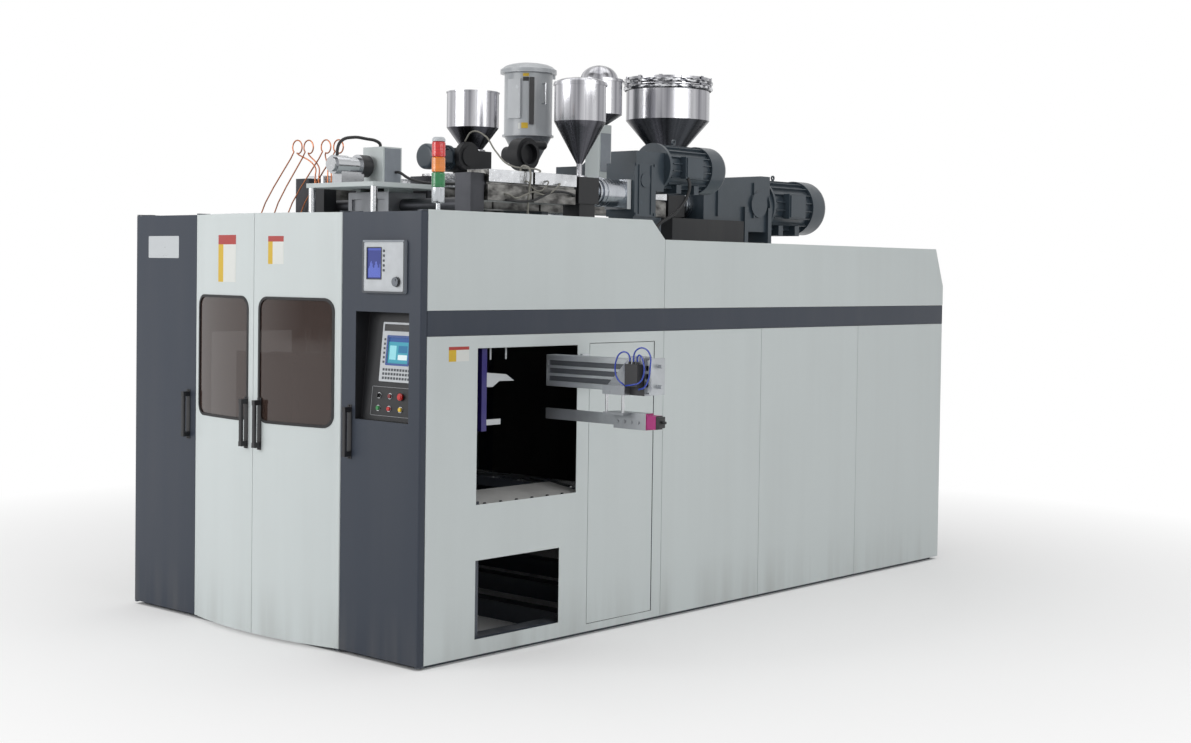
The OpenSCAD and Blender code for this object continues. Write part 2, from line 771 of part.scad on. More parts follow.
// Crosshead with two blow pins, its guide rods and the rod of its cylinder
pin_tip_z = tie_z[1] + tie_r + 12;
head_z = 1600;
module blow_pins(x) {
    color(colour_steel) translate([x, 0, 0]) {
        box([-125, line_y - 50, head_z], [125, line_y + 50, head_z + 35]);
        for (s = [-1, 1]) {
            rod_z(s * cavity_x, line_y, pin_tip_z, head_z, 12);
            rod_z(s * cavity_x, line_y, head_z - 60, head_z, 22);
            rod_z(s * 100, line_y, head_z + 35, bridge_top + blow_stroke + 15, 15);
        }
        rod_z(0, line_y, head_z + 35, bridge_top + blow_stroke + 10, 12);
        rod_z(0, line_y, bridge_top + blow_stroke + 5, bridge_top + blow_stroke + 20, 38 - fit);
    }
}
module right_blow_pins() { blow_pins(station_x); }
module left_blow_pins() { blow_pins(-station_x); }

// Die head: manifold with its inlets, and two dies with heater bands below it
manifold = [170, line_y - 120, line_y + 160, 2100, 2385];
inlet_z = 2310;
die_z = 1520;
module die_head() {
    color(colour_steel) {
        difference() {
            box([-manifold[0], manifold[1], manifold[3]], [manifold[0], manifold[2], manifold[4]]);
            for (s = [-1, 1]) box([s * 100 - 40, manifold[1] - 1, manifold[3] + 40],
                                  [s * 100 + 40, manifold[1] + 12, manifold[4] - 40]);
        }
        for (s = [-1, 1]) {
            rod_z(s * cavity_x, line_y, 1620, manifold[3], 42);
            for (z = [1650 : 90 : 2020]) rod_z(s * cavity_x, line_y, z, z + 78, 55);
            difference() {
                translate([s * cavity_x, line_y, die_z]) cylinder(h = 100, r1 = 26, r2 = 42);
                rod_z(s * cavity_x, line_y, die_z - 1, die_z + 60, 15);
            }
            rod_z(s * cavity_x, line_y, die_z - 4, die_z + 70, 13);
        }
    }
}

// Plate on four posts above the die head, with the valve block beside it
platform = [285, 490, 1015, 2405, 2430];
module head_platform() {
    color(colour_pale) {
        box([-platform[0], platform[1], platform[3]], [platform[0], platform[2], platform[4]]);
        for (s = [-1, 1]) for (y = [platform[1] + 25, platform[2] - 25]) {
            rod_z(s * (platform[0] - 22), y, roof_f, platform[3], 20);
        }
        // Tie plates from the manifold up to the platform
        for (s = [-1, 1])
            box([s * 120 - 20, line_y - 90, manifold[4]], [s * 120 + 20, line_y + 90, platform[3]]);
    }
    color(colour_black) box([-490, 690, roof_f], [-375, 780, platform[4]]);
    color(colour_pale) rod_z(-432, 735, platform[4], 2485, 20);
}

// Servo cylinder of the parison programming, on its saddle in front of the cabinet
servo_z = 2530;
module parison_servo() {
    color(colour_steel) {
        rod_y(-30, servo_z, 560, 700, 46);
        rod_y(-30, servo_z, 470, 560, 52);
        rod_y(-30, servo_z, 452, 470, 40);
        box([-70, 500, platform[4]], [10, 660, servo_z - 38]);
    }
    color(colour_black) {
        rod_y(-30, servo_z, 640, 712, 62);
        rod_y(-30, servo_z, 700, 740, 30);
    }
}

// Pale boxes: die head cabinet, metering box on the main barrel and the dryer's switch box
meter_y = 2620;
cabinet_z = 2640;
module control_boxes() {
    color(colour_pale) {
        box([-95, 740, platform[4]], [75, 880, cabinet_z]);
        box([75, 752, platform[4] + 8], [80, 868, cabinet_z - 8]);
        box([-60, meter_y - 58, cover_top(main_ex)], [60, meter_y + 58, 2895]);
        box([60, meter_y - 46, cover_top(main_ex) + 80], [66, meter_y + 46, 2840]);
    }
}

// Four thin copper lines, each with a round loop, from the roof to the valve block
seat_gap = 0.3;
line_feet = [-900, -820, -735, -660];
line_loops = [-565, -505, -390, -320];
line_ends = [-476, -462, -402, -388];
loop_r = 38;
module copper_lines() {
    color([0.72, 0.42, 0.28]) for (i = [0 : 3]) {
        c = [line_loops[i], 640 + 34 * i, 2655];
        foot = [line_feet[i], 640 + 34 * i, roof_f + seat_gap];
        swept(concat([foot, foot + [0, 0, 60]],
                     [for (a = [230 : -40 : -110])
                         c + [loop_r * cos(a), (230 - a) / 340 * 14, loop_r * sin(a)]],
                     [[line_ends[i], 706 + 16 * i, 2540], [line_ends[i], 706 + 16 * i, 2480],
                      [line_ends[i], 706 + 16 * i, platform[4] + seat_gap]]), 4);
    }
}

// Each extruder: [axis x, front y, feed y, screw radius, cover half width, cover height]
main_ex = [0, 1180, 3310, main_screw_r];
right_ex = [right_x, 860, 1680, side_screw_r];
left_ex = [left_x, 860, 2650, side_screw_r];
small_ex = [small_x, 1010, 1840, small_screw_r];
extruders = [main_ex, right_ex, left_ex, small_ex];
barrel_wall = 28;
feed_l = 170;
function barrel_r(e) = e[3] + barrel_wall;
function feed_y1(e) = e[2] + feed_l / 2;
function cover_half(e) = barrel_r(e) + 26;
function cover_top(e) = barrel_z + cover_half(e) - 4;
function coupling_l(e) = e[3] > 40 ? 110 : 270;
function gearbox_y0(e) = feed_y1(e) + coupling_l(e);
function bore_r(e) = e[3] + fit;

// Nitrided barrels with their front adapters, melt pipes and black feed blocks
module extruder_barrels() {
    color(colour_steel) {
        for (e = extruders) {
            difference() {
                union() {
                    rod_y(e[0], barrel_z, e[1], e[2] - feed_l / 2, barrel_r(e));
                    box([e[0] - barrel_r(e), e[1] - 100, inlet_z - 50],
                        [e[0] + barrel_r(e), e[1], barrel_z + barrel_r(e)]);
                }
                rod_y(e[0], barrel_z, e[1] - 60, e[2], bore_r(e));
            }
        }
        // Melt pipes into the manifold
        rod_y(0, inlet_z, manifold[2], main_ex[1] - 100, 45);
        rod_x(line_y, inlet_z, manifold[0], right_ex[0] - barrel_r(right_ex), 40);
        rod_x(line_y, inlet_z, left_ex[0] + barrel_r(left_ex), -manifold[0], 40);
        rod_x(small_ex[1] - 70, inlet_z, small_ex[0] + barrel_r(small_ex), -manifold[0], 26);
    }
    color(colour_black) for (e = extruders) {
        r = barrel_r(e) + 16;
        base = e[2] > seam_y ? roof_r : roof_f;
        difference() {
            union() {
                box([e[0] - r, e[2] - feed_l / 2, barrel_z - r], [e[0] + r, feed_y1(e), barrel_z + r]);
                box([e[0] - r + 12, e[2] - feed_l / 2 + 20, base], [e[0] + r - 12, feed_y1(e) - 20, barrel_z - r]);
            }
            rod_y(e[0], barrel_z, e[2] - feed_l / 2 - 1, feed_y1(e) + 1, bore_r(e));
            rod_z(e[0], e[2], barrel_z, barrel_z + r + 1, throat_r(e));
        }
    }
    // Rests under the long barrels
    color(colour_drive) for (e = [main_ex, left_ex])
        box([e[0] - 50, 2050, roof_r], [e[0] + 50, 2110, barrel_z - cover_half(e)]);
}
function throat_r(e) = e[3] * 0.8;

// Bright sheet covers round the barrels: an upper and a lower row with a dark slot between
module barrel_covers() {
    color([0.75, 0.76, 0.78]) for (e = extruders) {
        h = cover_half(e);
        y1 = e[2] - feed_l / 2 - 12;
        y0 = e[1] + 12;
        n = max(1, round((y1 - y0) / 420));
        step = (y1 - y0) / n;
        for (i = [0 : n - 1]) difference() {
            union() {
                box([e[0] - h, y0 + i * step, barrel_z + 14], [e[0] + h, y0 + (i + 1) * step - 16, barrel_z + h - 4]);
                box([e[0] - h + 8, y0 + i * step, barrel_z - h], [e[0] + h - 8, y0 + (i + 1) * step - 16, barrel_z + 2]);
                box([e[0] - h + 20, y0 + i * step, barrel_z - h], [e[0] + h - 20, y0 + (i + 1) * step - 16, barrel_z + h - 10]);
            }
            rod_y(e[0], barrel_z, y0 - 1, y1 + 1, barrel_r(e));
        }
    }
}

// Screw: core, flights as rings one pitch apart and the shank into the gearbox
module screw(e) {
    r = e[3];
    y0 = e[1] - 20;
    y1 = e[2] + 40;
    color(colour_steel) {
        rod_y(e[0], barrel_z, y0, y1, r * 0.7);
        for (y = [y0 + r : 2 * r : y1 - r]) rod_y(e[0], barrel_z, y, y + r / 4, r);
        rod_y(e[0], barrel_z, y1 - 1, gearbox_y0(e) + 40, r - fit);
    }
}
module main_screw() { screw(main_ex); }
module right_screw() { screw(right_ex); }
module left_screw() { screw(left_ex); }
module small_screw() { screw(small_ex); }

// Lantern housings between the feed blocks and the gearboxes, each with its flange plate
module drive_couplings() {
    color(colour_steel) for (e = extruders) {
        y0 = feed_y1(e);
        y1 = gearbox_y0(e);
        r = barrel_r(e) + 22;
        difference() {
            union() {
                rod_y(e[0], barrel_z, y0, y1, r * 0.8);
                rod_y(e[0], barrel_z, y0 + 18, y0 + 30, r);
                rod_y(e[0], barrel_z, y0 + 50, y1 - 30, r);
                if (coupling_l(e) > 200) {
                    rod_y(e[0], barrel_z, y0 + 78, y0 + 84, r + 5);
                    box([e[0] - r - 6, y1 - 34, barrel_z - r - 12], [e[0] + r + 6, y1, barrel_z + r - 2]);
                }
            }
            rod_y(e[0], barrel_z, y0 - 1, y1 + 1, e[3]);
        }
    }
}

// Gearbox of a side extruder: stand, housing with ribs, covers and the motor flange
module side_gearbox(e) {
    y0 = gearbox_y0(e);
    x = e[0];
    difference() {
        union() {
            box([x - 95, y0 + 10, roof_r], [x + 95, y0 + 270, 2285]);
            box([x - 110, y0 + 5, 2285], [x + 110, y0 + 200, 2600]);
            box([x - 100, y0 + 30, 2600], [x + 100, y0 + 200, 2672]);
            box([x - 96, y0 + 200, 2440], [x + 96, y0 + 290, 2672]);
            rod_y(x, barrel_z, y0, y0 + 30, 85);
            for (s = [-1, 1]) box([x + s * 113 - 3, y0 + 40, 2300], [x + s * 113 + 3, y0 + 52, 2590]);
            for (s = [-1, 1]) box([x + s * 113 - 3, y0 + 150, 2300], [x + s * 113 + 3, y0 + 162, 2590]);
            rod_x(y0 + 100, 2500, x - 116, x + 116, 42);
            for (z = [2300, 2590]) for (dy = [14, 182])
                box([x - 116, y0 + dy - 4, z - 8], [x + 116, y0 + dy + 14, z + 8]);
        }
        rod_y(x, barrel_z, y0 - 1, y0 + 41, e[3]);
    }
}

main_gear_y = gearbox_y0(main_ex);
plinth_top = barrel_z - cover_half(main_ex) - 3;
module gearboxes() {
    e = main_ex;
    color(colour_drive) {
        side_gearbox(right_ex);
        side_gearbox(left_ex);
        // Small extruder
        difference() {
            box([small_x - 75, gearbox_y0(small_ex), roof_r], [small_x + 75, gearbox_y0(small_ex) + 150, 2540]);
            rod_y(small_x, barrel_z, gearbox_y0(small_ex) - 1, gearbox_y0(small_ex) + 41, small_ex[3]);
        }
        // Main gearbox: a casting that rises towards its motor, on a wide foot
        difference() {
            union() {
                translate([-165, 0, 0]) rotate([90, 0, 90]) linear_extrude(330)
                    polygon([[main_gear_y, plinth_top], [main_gear_y, 2520], [main_gear_y + 130, 2600],
                             [main_motor_y - 130, 2640], [main_motor_y - 20, 2640],
                             [main_motor_y - 20, 2250], [main_motor_y - 320, 2250],
                             [main_motor_y - 360, plinth_top]]);
                for (y = [main_motor_y - 330, main_motor_y - 60])
                    box([-185, y, roof_r], [185, y + 40, 2420]);
                rod_y(0, barrel_z, main_motor_y - 40, main_motor_y, 185);
                for (y = [main_gear_y + 140, main_motor_y - 220])
                    box([-178, y, 2345], [178, y + 16, 2590]);
                rod_x(main_motor_y - 160, 2440, -182, 182, 90);
            }
            rod_y(0, barrel_z, main_gear_y - 1, main_gear_y + 41, e[3]);
        }
    }
    color(colour_black) difference() {
        box([-200, feed_y1(main_ex) - 260, roof_r], [200, main_motor_y - 362, plinth_top]);
        box([-190, feed_y1(main_ex) - 170, roof_r - 1], [190, feed_y1(main_ex) + 1, plinth_top + 1]);
    }
    // Worm gear of the metering drive under the small hopper
    color(colour_black) {
        box([small_x - 70, 1625, 2560], [small_x + 90, 1752, 2700]);
        rod_x(1690, 2650, small_x + 90, small_x + 130, 88);
        rod_x(1690, 2650, small_x + 130, small_x + 138, 60);
    }
}

// Motor along Y: flange, finned body, terminal box, foot and fan cowl with a rounded end
module motor(x, z, y0, l, r, foot = true) {
    cowl = l * 0.28;
    color(colour_drive) {
        rod_y(x, z, y0, y0 + 22, r);
        rod_y(x, z, y0 + 22, y0 + l - cowl, r * 0.86);
        // Cooling fins
        translate([x, y0 + 40, z]) for (i = [0 : 19]) rotate([0, 9 + 18 * i, 0])
            translate([r * 0.8, 0, -2.5]) cube([r * 0.165, l - cowl - 38, 5]);
        translate([x, y0 + l - cowl, z]) rotate([-90, 0, 0]) rotate_extrude()
            polygon(concat([[0, 0], [r, 0], [r, cowl - r * 0.25]],
                [for (a = [10 : 20 : 90])
                    [r * 0.75 + r * 0.25 * cos(a), cowl - r * 0.25 + r * 0.25 * sin(a)]],
                [[0, cowl]]));
        box([x + r * 0.7, y0 + l * 0.22, z - r * 0.45], [x + r * 1.12, y0 + l * 0.52, z + r * 0.45]);
        box([x + r * 1.12, y0 + l * 0.24, z - r * 0.4], [x + r * 1.16, y0 + l * 0.50, z + r * 0.4]);
        if (foot) for (dy = [0.2, 0.5])
            box([x - r * 0.7, y0 + l * dy, z - r * 1.06], [x + r * 0.7, y0 + l * (dy + 0.08), z - r * 0.7]);
        rod_z(x, y0 + l * 0.36, z + r * 0.8, z + r - 2, 10);
        difference() {
            rod_x(y0 + l * 0.36, z + r + 14, x - 5, x + 5, 18);
            rod_x(y0 + l * 0.36, z + r + 14, x - 6, x + 6, 10);
        }
    }
}

main_motor_y = 4270;
main_motor_r = 195;
side_motor_r = 146;
side_motor_z = 2590;
module motors() {
    motor(0, barrel_z + 20, main_motor_y, 660, main_motor_r);
    for (e = [right_ex, left_ex])
        motor(e[0], side_motor_z, gearbox_y0(e) + 290, 560, side_motor_r);
    motor(small_x, 2440, gearbox_y0(small_ex) + 150, 260, 80);
    // Motor of the metering drive, in front of its worm gear
    mirror([0, 1, 0]) motor(small_x + 10, 2640, -1625, 200, 78, false);
}

// Spun hopper shell: points [radius, height] of its outside, from the outlet up
module hopper_shell(x, y, points) {
    n = len(points);
    translate([x, y, 0]) rotate_extrude($fn = 72)
        polygon(concat(points, [for (i = [n - 1 : -1 : 0]) points[i] - [hopper_t, 0]]));
}

module hopper_flange(x, y, z, r_in, r_out, t) {
    difference() {
        rod_z(x, y, z, z + t, r_out);
        rod_z(x, y, z - 1, z + t + 1, r_in);
    }
}

small_feed_top = 2600;
module hoppers() {
    color([0.70, 0.70, 0.73]) {
        // Main hopper with its clamped rim and flat lid
        my = main_ex[2];
        ft = barrel_z + barrel_r(main_ex) + 16;
        hopper_shell(0, my, [[48, ft], [48, 2700], [main_hopper_r, 2970], [main_hopper_r, 3235]]);
        hopper_flange(0, my, ft, 47, 90, 14);
        hopper_flange(0, my, 3190, main_hopper_r - 1, main_hopper_r + 9, 14);
        hopper_flange(0, my, 3216, main_hopper_r - 1, main_hopper_r + 9, 14);
        rod_z(0, my, 3235, 3250, main_hopper_r + 7);
        for (a = [0 : 30 : 330]) translate([0, my, 0]) rotate([0, 0, a])
            box([main_hopper_r + 9, -12, 3186], [main_hopper_r + 15, 12, 3254]);
        // Right hopper: steep cone, long outlet tube with its flange, domed lid
        ry = right_ex[2];
        rt = barrel_z + barrel_r(right_ex) + 16;
        hopper_shell(right_x, ry, [[17, rt], [17, 2575], [149, 2814], [149, 3031]]);
        hopper_flange(right_x, ry, rt, 16, 42, 10);
        hopper_flange(right_x, ry, 3020, 148, 156, 10);
        rod_z(right_x, ry, 3031, 3040, 152);
        translate([right_x, ry, 3040]) rotate_extrude($fn = 72)
            polygon(concat([[0, 0], [140, 0]],
                [for (a = [15 : 15 : 75]) [140 * cos(a), 28 * sin(a)]], [[0, 28]]));
        // Hopper on the metering box, with its high dome
        hopper_shell(0, meter_y, [[50, 2895], [148, 2960], [148, 3178]]);
        hopper_flange(0, meter_y, 3168, 147, 158, 10);
        rod_z(0, meter_y, 3178, 3186, 152);
        translate([0, meter_y, 3186]) rotate_extrude($fn = 72)
            polygon(concat([[0, 0], [120, 0]],
                [for (a = [10 : 10 : 80]) [120 * cos(a), 90 * sin(a)]], [[0, 90]]));
        // Small hopper on its metering block
        sy = small_ex[2];
        hopper_shell(small_x, sy, [[45, 2700], [60, 2700], [161, 2837], [161, 3060]]);
        hopper_flange(small_x, sy, 3050, 160, 166, 8);
        hopper_flange(small_x, sy, 2692, 44, 80, 10);
    }
    color(colour_black) difference() {
        box([small_x - 80, small_ex[2] - 88, barrel_z + barrel_r(small_ex) + 16],
            [small_x + 80, small_ex[2] + 88, 2692]);
        rod_z(small_x, small_ex[2], 2400, 2700, 40);
    }
}

// Hopper dryer: body with its rim and hinge ears, cone with a door, sight strip and handles
dryer_y = left_ex[2];
dryer_z = [2853, 3277];
blower_z = 2712;
duct_y = dryer_y - 60;
duct_z = blower_z + 70;
duct_r = 28;
lid_pivot = [dryer_y + dryer_r + 40, dryer_z[1] + 6];
module dryer() {
    ft = barrel_z + barrel_r(left_ex) + 16;
    color(colour_pale) {
        difference() {
            hopper_shell(left_x, dryer_y, [[46, ft + 12], [46, 2640], [dryer_r, dryer_z[0]],
                                           [dryer_r, dryer_z[1] - 12]]);
            rod_x(duct_y, duct_z, left_x, left_x + dryer_r, duct_r + seat_gap);
        }
        hopper_flange(left_x, dryer_y, ft, 44, 95, 12);
        hopper_flange(left_x, dryer_y, dryer_z[0] - 6, dryer_r - 1, dryer_r + 12, 12);
        hopper_flange(left_x, dryer_y, dryer_z[1] - 12, dryer_r - 2, dryer_r + 28, 12);
        // Hinge ears behind the rim
        for (s = [-1, 1]) {
            box([left_x + s * 40 - 6, dryer_y + dryer_r + 10, dryer_z[1] - 30],
                [left_x + s * 40 + 6, lid_pivot[0] + 12, dryer_z[1] - 8]);
            box([left_x + s * 40 - 6, lid_pivot[0] - 9, dryer_z[1] - 30],
                [left_x + s * 40 + 6, lid_pivot[0] + 12, lid_pivot[1] + 10]);
        }
        rod_x(lid_pivot[0], lid_pivot[1], left_x - 46, left_x + 46, pin_r);
        // Sight strip and door frame on the right-hand front
        translate([left_x, dryer_y, 0]) rotate([0, 0, -38])
            box([dryer_r - 4, -16, 2920], [dryer_r + 12, 16, 3230]);
        translate([left_x, dryer_y, 0]) rotate([0, 0, -80])
            box([dryer_r - 8, -50, 2960], [dryer_r + 10, 50, 3220]);
    }
    color(colour_steel) for (s = [-1, 1]) {
        for (z = [3060, 3190]) rod_x(dryer_y - 30, z, left_x + s * (dryer_r + 14) - 18, left_x + s * (dryer_r + 14) + 18, 5);
        rod_z(left_x + s * (dryer_r + 32) - s * 4, dryer_y - 30, 3055, 3195, 5);
    }
}

module dryer_lid() {
    color(colour_pale) {
        translate([left_x, dryer_y, dryer_z[1] + 0.3]) rotate_extrude($fn = 72)
            polygon(concat([[0, 0], [dryer_r + 28, 0], [dryer_r + 28, 14], [dryer_r + 16, 22]],
                [for (a = [20 : 20 : 80]) [(dryer_r + 10) * cos(a), 22 + 40 * sin(a)]], [[0, 62]]));
        difference() {
            union() {
                box([left_x - 32, dryer_y + dryer_r, dryer_z[1] + 2],
                    [left_x + 32, lid_pivot[0] - 2, dryer_z[1] + 12]);
                rod_x(lid_pivot[0], lid_pivot[1], left_x - 33, left_x + 33, 9);
            }
            rod_x(lid_pivot[0], lid_pivot[1], left_x - 60, left_x + 60, pin_r + fit);
        }
    }
}

// Blower of the dryer: scroll, inlet ring and motor on a post, with its duct to the cone
module dryer_blower() {
    x = -455;
    y = 2400;
    z = blower_z;
    color(colour_black) {
        difference() {
            rod_x(y, z, x - 45, x + 45, 106);
            rod_x(y, z, x + 20, x + 46, 66);
        }
        difference() {
            rod_x(y, z, x + 45, x + 62, 80);
            rod_x(y, z, x + 44, x + 63, 66);
        }
        rod_x(y, z, x - 150, x - 45, 55);
        box([x - 22, y - 20, roof_r], [x + 22, y + 20, z - 100]);
        rod_y(x - 12, duct_z, y, duct_y, duct_r);
        rod_x(duct_y, duct_z, left_x + dryer_r * 0.45, x - 12, duct_r);
        translate([x - 12, duct_y, duct_z]) sphere(duct_r + 4);
    }
}

// Signal tower: foot, pole, base and three lamps under a cap
tower_at = [1090, 220];
module signal_tower() {
    color(colour_steel) {
        rod_z(tower_at[0], tower_at[1], roof_f, roof_f + 6, 30);
        rod_z(tower_at[0], tower_at[1], roof_f + 6, 2296, 10);
        rod_z(tower_at[0], tower_at[1], 2290, 2366, 26);
    }
    color("green") rod_z(tower_at[0], tower_at[1], 2366, 2440, 28);
    color("orange") rod_z(tower_at[0], tower_at[1], 2440, 2520, 28);
    color("red") rod_z(tower_at[0], tower_at[1], 2520, 2596, 28);
    color("white") rod_z(tower_at[0], tower_at[1], 2596, 2616, 26);
}

// Take-out beam: ribbed aluminium profile with its end plates and the arm to the side frame
beam_x0 = beam_x1 - beam_l;
beam_y = [line_y - 35, line_y + 45];
module take_out_beam() {
    z1 = beam_z0 + beam_h;
    color([0.68, 0.70, 0.72]) {
        difference() {
            box([beam_x0, beam_y[0], beam_z0], [beam_x1, beam_y[1], z1]);
            for (k = [1 : 3])
                box([beam_x0 + 14, beam_y[0] - 1, beam_z0 + k * beam_h / 4 - 13],
                    [beam_x1 - 14, beam_y[0] + 10, beam_z0 + k * beam_h / 4 + 13]);
            for (k = [1, 3])
                box([beam_x0 + 14, beam_y[0] + k * 20 - 6, z1 - 8],
                    [beam_x1 - 14, beam_y[0] + k * 20 + 6, z1 + 1]);
        }
        box([beam_x1, beam_y[0] - 10, beam_z0 - 10], [beam_x1 + 16, beam_y[1] + 10, z1 + 10]);
        for (z = [beam_z0 + 30, z1 - 30]) rod_x(beam_y[0] + 40, z, beam_x1 + 16, beam_x1 + 42, 9);
        // Arm from the side frame to the rear of the beam
        box([beam_x0 + 30, beam_y[1], beam_z0 + 20], [beam_x0 + 170, beam_y[1] + 16, z1 - 15]);
        box([beam_x0 + 30, beam_y[1] + 16, beam_z0 + 25], [beam_x0 + 70, arm_y + 50, z1 - 25]);
        box([half_w, arm_y, beam_z0 + 10], [half_w + 16, arm_y + 50, z1 - 10]);
        box([half_w + 16, arm_y + 10, beam_z0 + 30], [beam_x0 + 30, arm_y + 50, z1 - 30]);
    }
}
arm_y = opening_y0 + opening_l + 20;

// Trolley: slide plate in front of the beam, side cheeks and the lift cylinder's block
trolley_x = [beam_x1 - 265, beam_x1 - 25];
module take_out_trolley() {
    y1 = beam_y[0] - 0.3;
    z1 = beam_z0 + beam_h;
    color([0.78, 0.79, 0.80]) {
        translate([0, y1, 0]) rotate([90, 0, 0]) linear_extrude(14)
            polygon([[trolley_x[0], beam_z0 - 15], [trolley_x[0], beam_z0 + 30],
                     [trolley_x[0] + 130, z1], [trolley_x[0] + 130, z1 + 16],
                     [trolley_x[1], z1 + 16], [trolley_x[1], beam_z0 - 15]]);
        // Hook over the beam's upper edge, shelf under it and guide block of the lift rods
        box([trolley_x[0] + 130, y1 - 14, z1 + 0.3], [trolley_x[1], beam_y[0] + 40, z1 + 16]);
        box([trolley_x[0] + 20, y1 - 1, beam_z0 - 15],
            [trolley_x[1], beam_y[0] + 70, beam_z0 - 3]);
        difference() {
            box([trolley_x[0], lift_y - 18, beam_z0 - 15],
                [trolley_x[0] + 145, y1 - 14, beam_z0 + 30]);
            for (x = lift_x) rod_z(x, lift_y, beam_z0 - 16, beam_z0 + 31, lift_rod_r + fit);
        }
        // Valve block with its air fittings
        box([trolley_x[1] - 90, y1 - 60, beam_z0 + 30], [trolley_x[1] - 10, y1 - 14, z1 - 20]);
        for (k = [0 : 2]) rod_z(trolley_x[1] - 75 + 25 * k, y1 - 40, z1 - 20, z1 - 8, 7);
    }
}
lift_x = [beam_x1 - 250, beam_x1 - 144];
lift_y = beam_y[0] - 36;
lift_rod_r = 8;

// Gripper bar on its two lift rods, with the magenta actuator at its outer end
bar_z = [1200, 1255];
bar_x0 = beam_x0 - 10;
module gripper_bar() {
    color([0.68, 0.70, 0.72]) {
        box([bar_x0, line_y - 26, bar_z[0]], [beam_x1 - 160, line_y - 6, bar_z[1]]);
        box([beam_x1 - 240, line_y - 30, bar_z[0] - 15], [beam_x1 - 30, line_y + 30, bar_z[1] + 12]);
        box([beam_x1 - 262, lift_y - 14, bar_z[1]], [beam_x1 - 130, line_y + 30, bar_z[1] + 12]);
        for (x = lift_x) rod_z(x, lift_y, bar_z[1] + 12, beam_z0 + 2, lift_rod_r);
        for (k = [0 : 3]) rod_y(beam_x1 - 215 + 45 * k, bar_z[0] + 20, line_y - 36, line_y - 30, 8);
    }
    color([0.62, 0.12, 0.42]) box([beam_x1 - 30, line_y - 26, bar_z[0] - 8], [beam_x1 + 30, line_y + 26, bar_z[1] + 4]);
    color(colour_black) {
        box([beam_x1 + 30, line_y - 24, bar_z[0]], [beam_x1 + 48, line_y + 24, bar_z[1]]);
        rod_x(line_y, bar_z[0] + 28, beam_x1 + 48, beam_x1 + 72, 7);
    }
}

// Jaw that closes against the bar and holds the necks
module gripper_jaw() {
    color([0.68, 0.70, 0.72]) difference() {
        box([bar_x0, line_y + 6, bar_z[0] + 4], [beam_x1 - 240.5, line_y + 24, bar_z[1] - 4]);
        for (k = [0, 1]) rod_z(bar_x0 + 120 + 130 * k, line_y + 4, bar_z[0], bar_z[1], 16);
    }
}

// Air lines looped from the valve block over the trolley and down to its cheek
module air_lines() {
    x = trolley_x[1];
    y = beam_y[0] - 54;
    z = beam_z0 + beam_h;
    color([0.15, 0.25, 0.65]) for (k = [0 : 2])
        swept([[x - 75 + 25 * k, y + 14, z - 8], [x - 75 + 25 * k, y + 14, z + 16 + 14 * k],
               [x - 95 + 20 * k, y + 12, z + 42 + 16 * k], [x - 130, y + 6, z + 50 + 20 * k],
               [x - 165 - 14 * k, y, z + 26 + 12 * k], [x - 180 - 18 * k, y - 4, z - 20],
               [x - 176 - 18 * k, y, z - 66], [x - 160 - 18 * k, y + 16, z - 100],
               [x - 150 - 18 * k, y + 36, z - 124]], 4);
}

// Black hose over the servo, and cables along the covers
module cables() {
    ct = barrel_z + cover_half(right_ex) - 4;
    color(colour_black) {
        swept([[-30, 500, servo_z + 52 + seat_gap], [-30, 500, servo_z + 80],
               [-28, 525, servo_z + 130], [-20, 600, servo_z + 155], [-10, 690, servo_z + 152],
               [0, 765, servo_z + 140], [0, 785, servo_z + 125], [0, 785, cabinet_z + seat_gap]], 9);
        swept([[80 + seat_gap, 830, 2500], [110, 830, 2499], [170, 850, 2465], [240, 900, 2442],
               [300, 1000, 2440], [400, 1150, 2442], [500, 1250, 2436],
               [right_x - cover_half(right_ex) - 9, 1290, 2436]], 8);
    }
    color("gray") {
        swept([[small_x + 90, 1690, 2742], [small_x + 140, 1700, 2800], [small_x + 220, 1720, 2780],
               [small_x + 340, 1700, 2680], [small_x + 560, 1600, 2580],
               [right_x - 120, 1480, 2530], [right_x - 60, 1400, ct + 5]], 5);
        swept([[right_x, 1200, ct + seat_gap], [right_x, 1200, ct + 16], [right_x + 20, 1190, ct + 30],
               [right_x + 62, 1180, ct + 30], [right_x + 99, 1172, ct + 8],
               [right_x + 102, 1165, ct - 100], [right_x + 98, 1160, ct - 190],
               [right_x + 98, 1160, roof_f + seat_gap]], 6);
    }
}

module placed() {
    translate([0, -depth / 2, 0]) children();
}

placed() base_frame();
placed() upper_frame();
placed() roof_panels();
placed() side_panels();
placed() rear_panels();
placed() stripe_bands();
placed() left_dark_door();
placed() left_window_door();
placed() right_window_door();
placed() control_door();
placed() left_window_pane();
placed() right_window_pane();
placed() access_door();
placed() left_dark_handle();
placed() left_window_handle();
placed() right_window_handle();
placed() control_door_handle();
placed() parison_controller();
placed() controller_dial();
placed() operator_console();
placed() operator_screen();
placed() emergency_stop();
placed() selector_switch();
placed() cycle_button();
placed() start_button();
placed() stop_button();
placed() reset_button();
placed() right_carriage();
placed() left_carriage();
placed() right_front_platen();
placed() right_rear_platen();
placed() left_front_platen();
placed() left_rear_platen();
placed() right_blow_pins();
placed() left_blow_pins();
placed() die_head();
placed() head_platform();
placed() parison_servo();
placed() control_boxes();
placed() copper_lines();
placed() extruder_barrels();
placed() barrel_covers();
placed() main_screw();
placed() right_screw();
placed() left_screw();
placed() small_screw();
placed() gearboxes();
placed() motors();
placed() drive_couplings();
placed() hoppers();
placed() dryer();
placed() dryer_lid();
placed() dryer_blower();
placed() signal_tower();
placed() take_out_beam();
placed() take_out_trolley();
placed() gripper_bar();
placed() gripper_jaw();
placed() air_lines();
placed() cables();
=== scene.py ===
import math

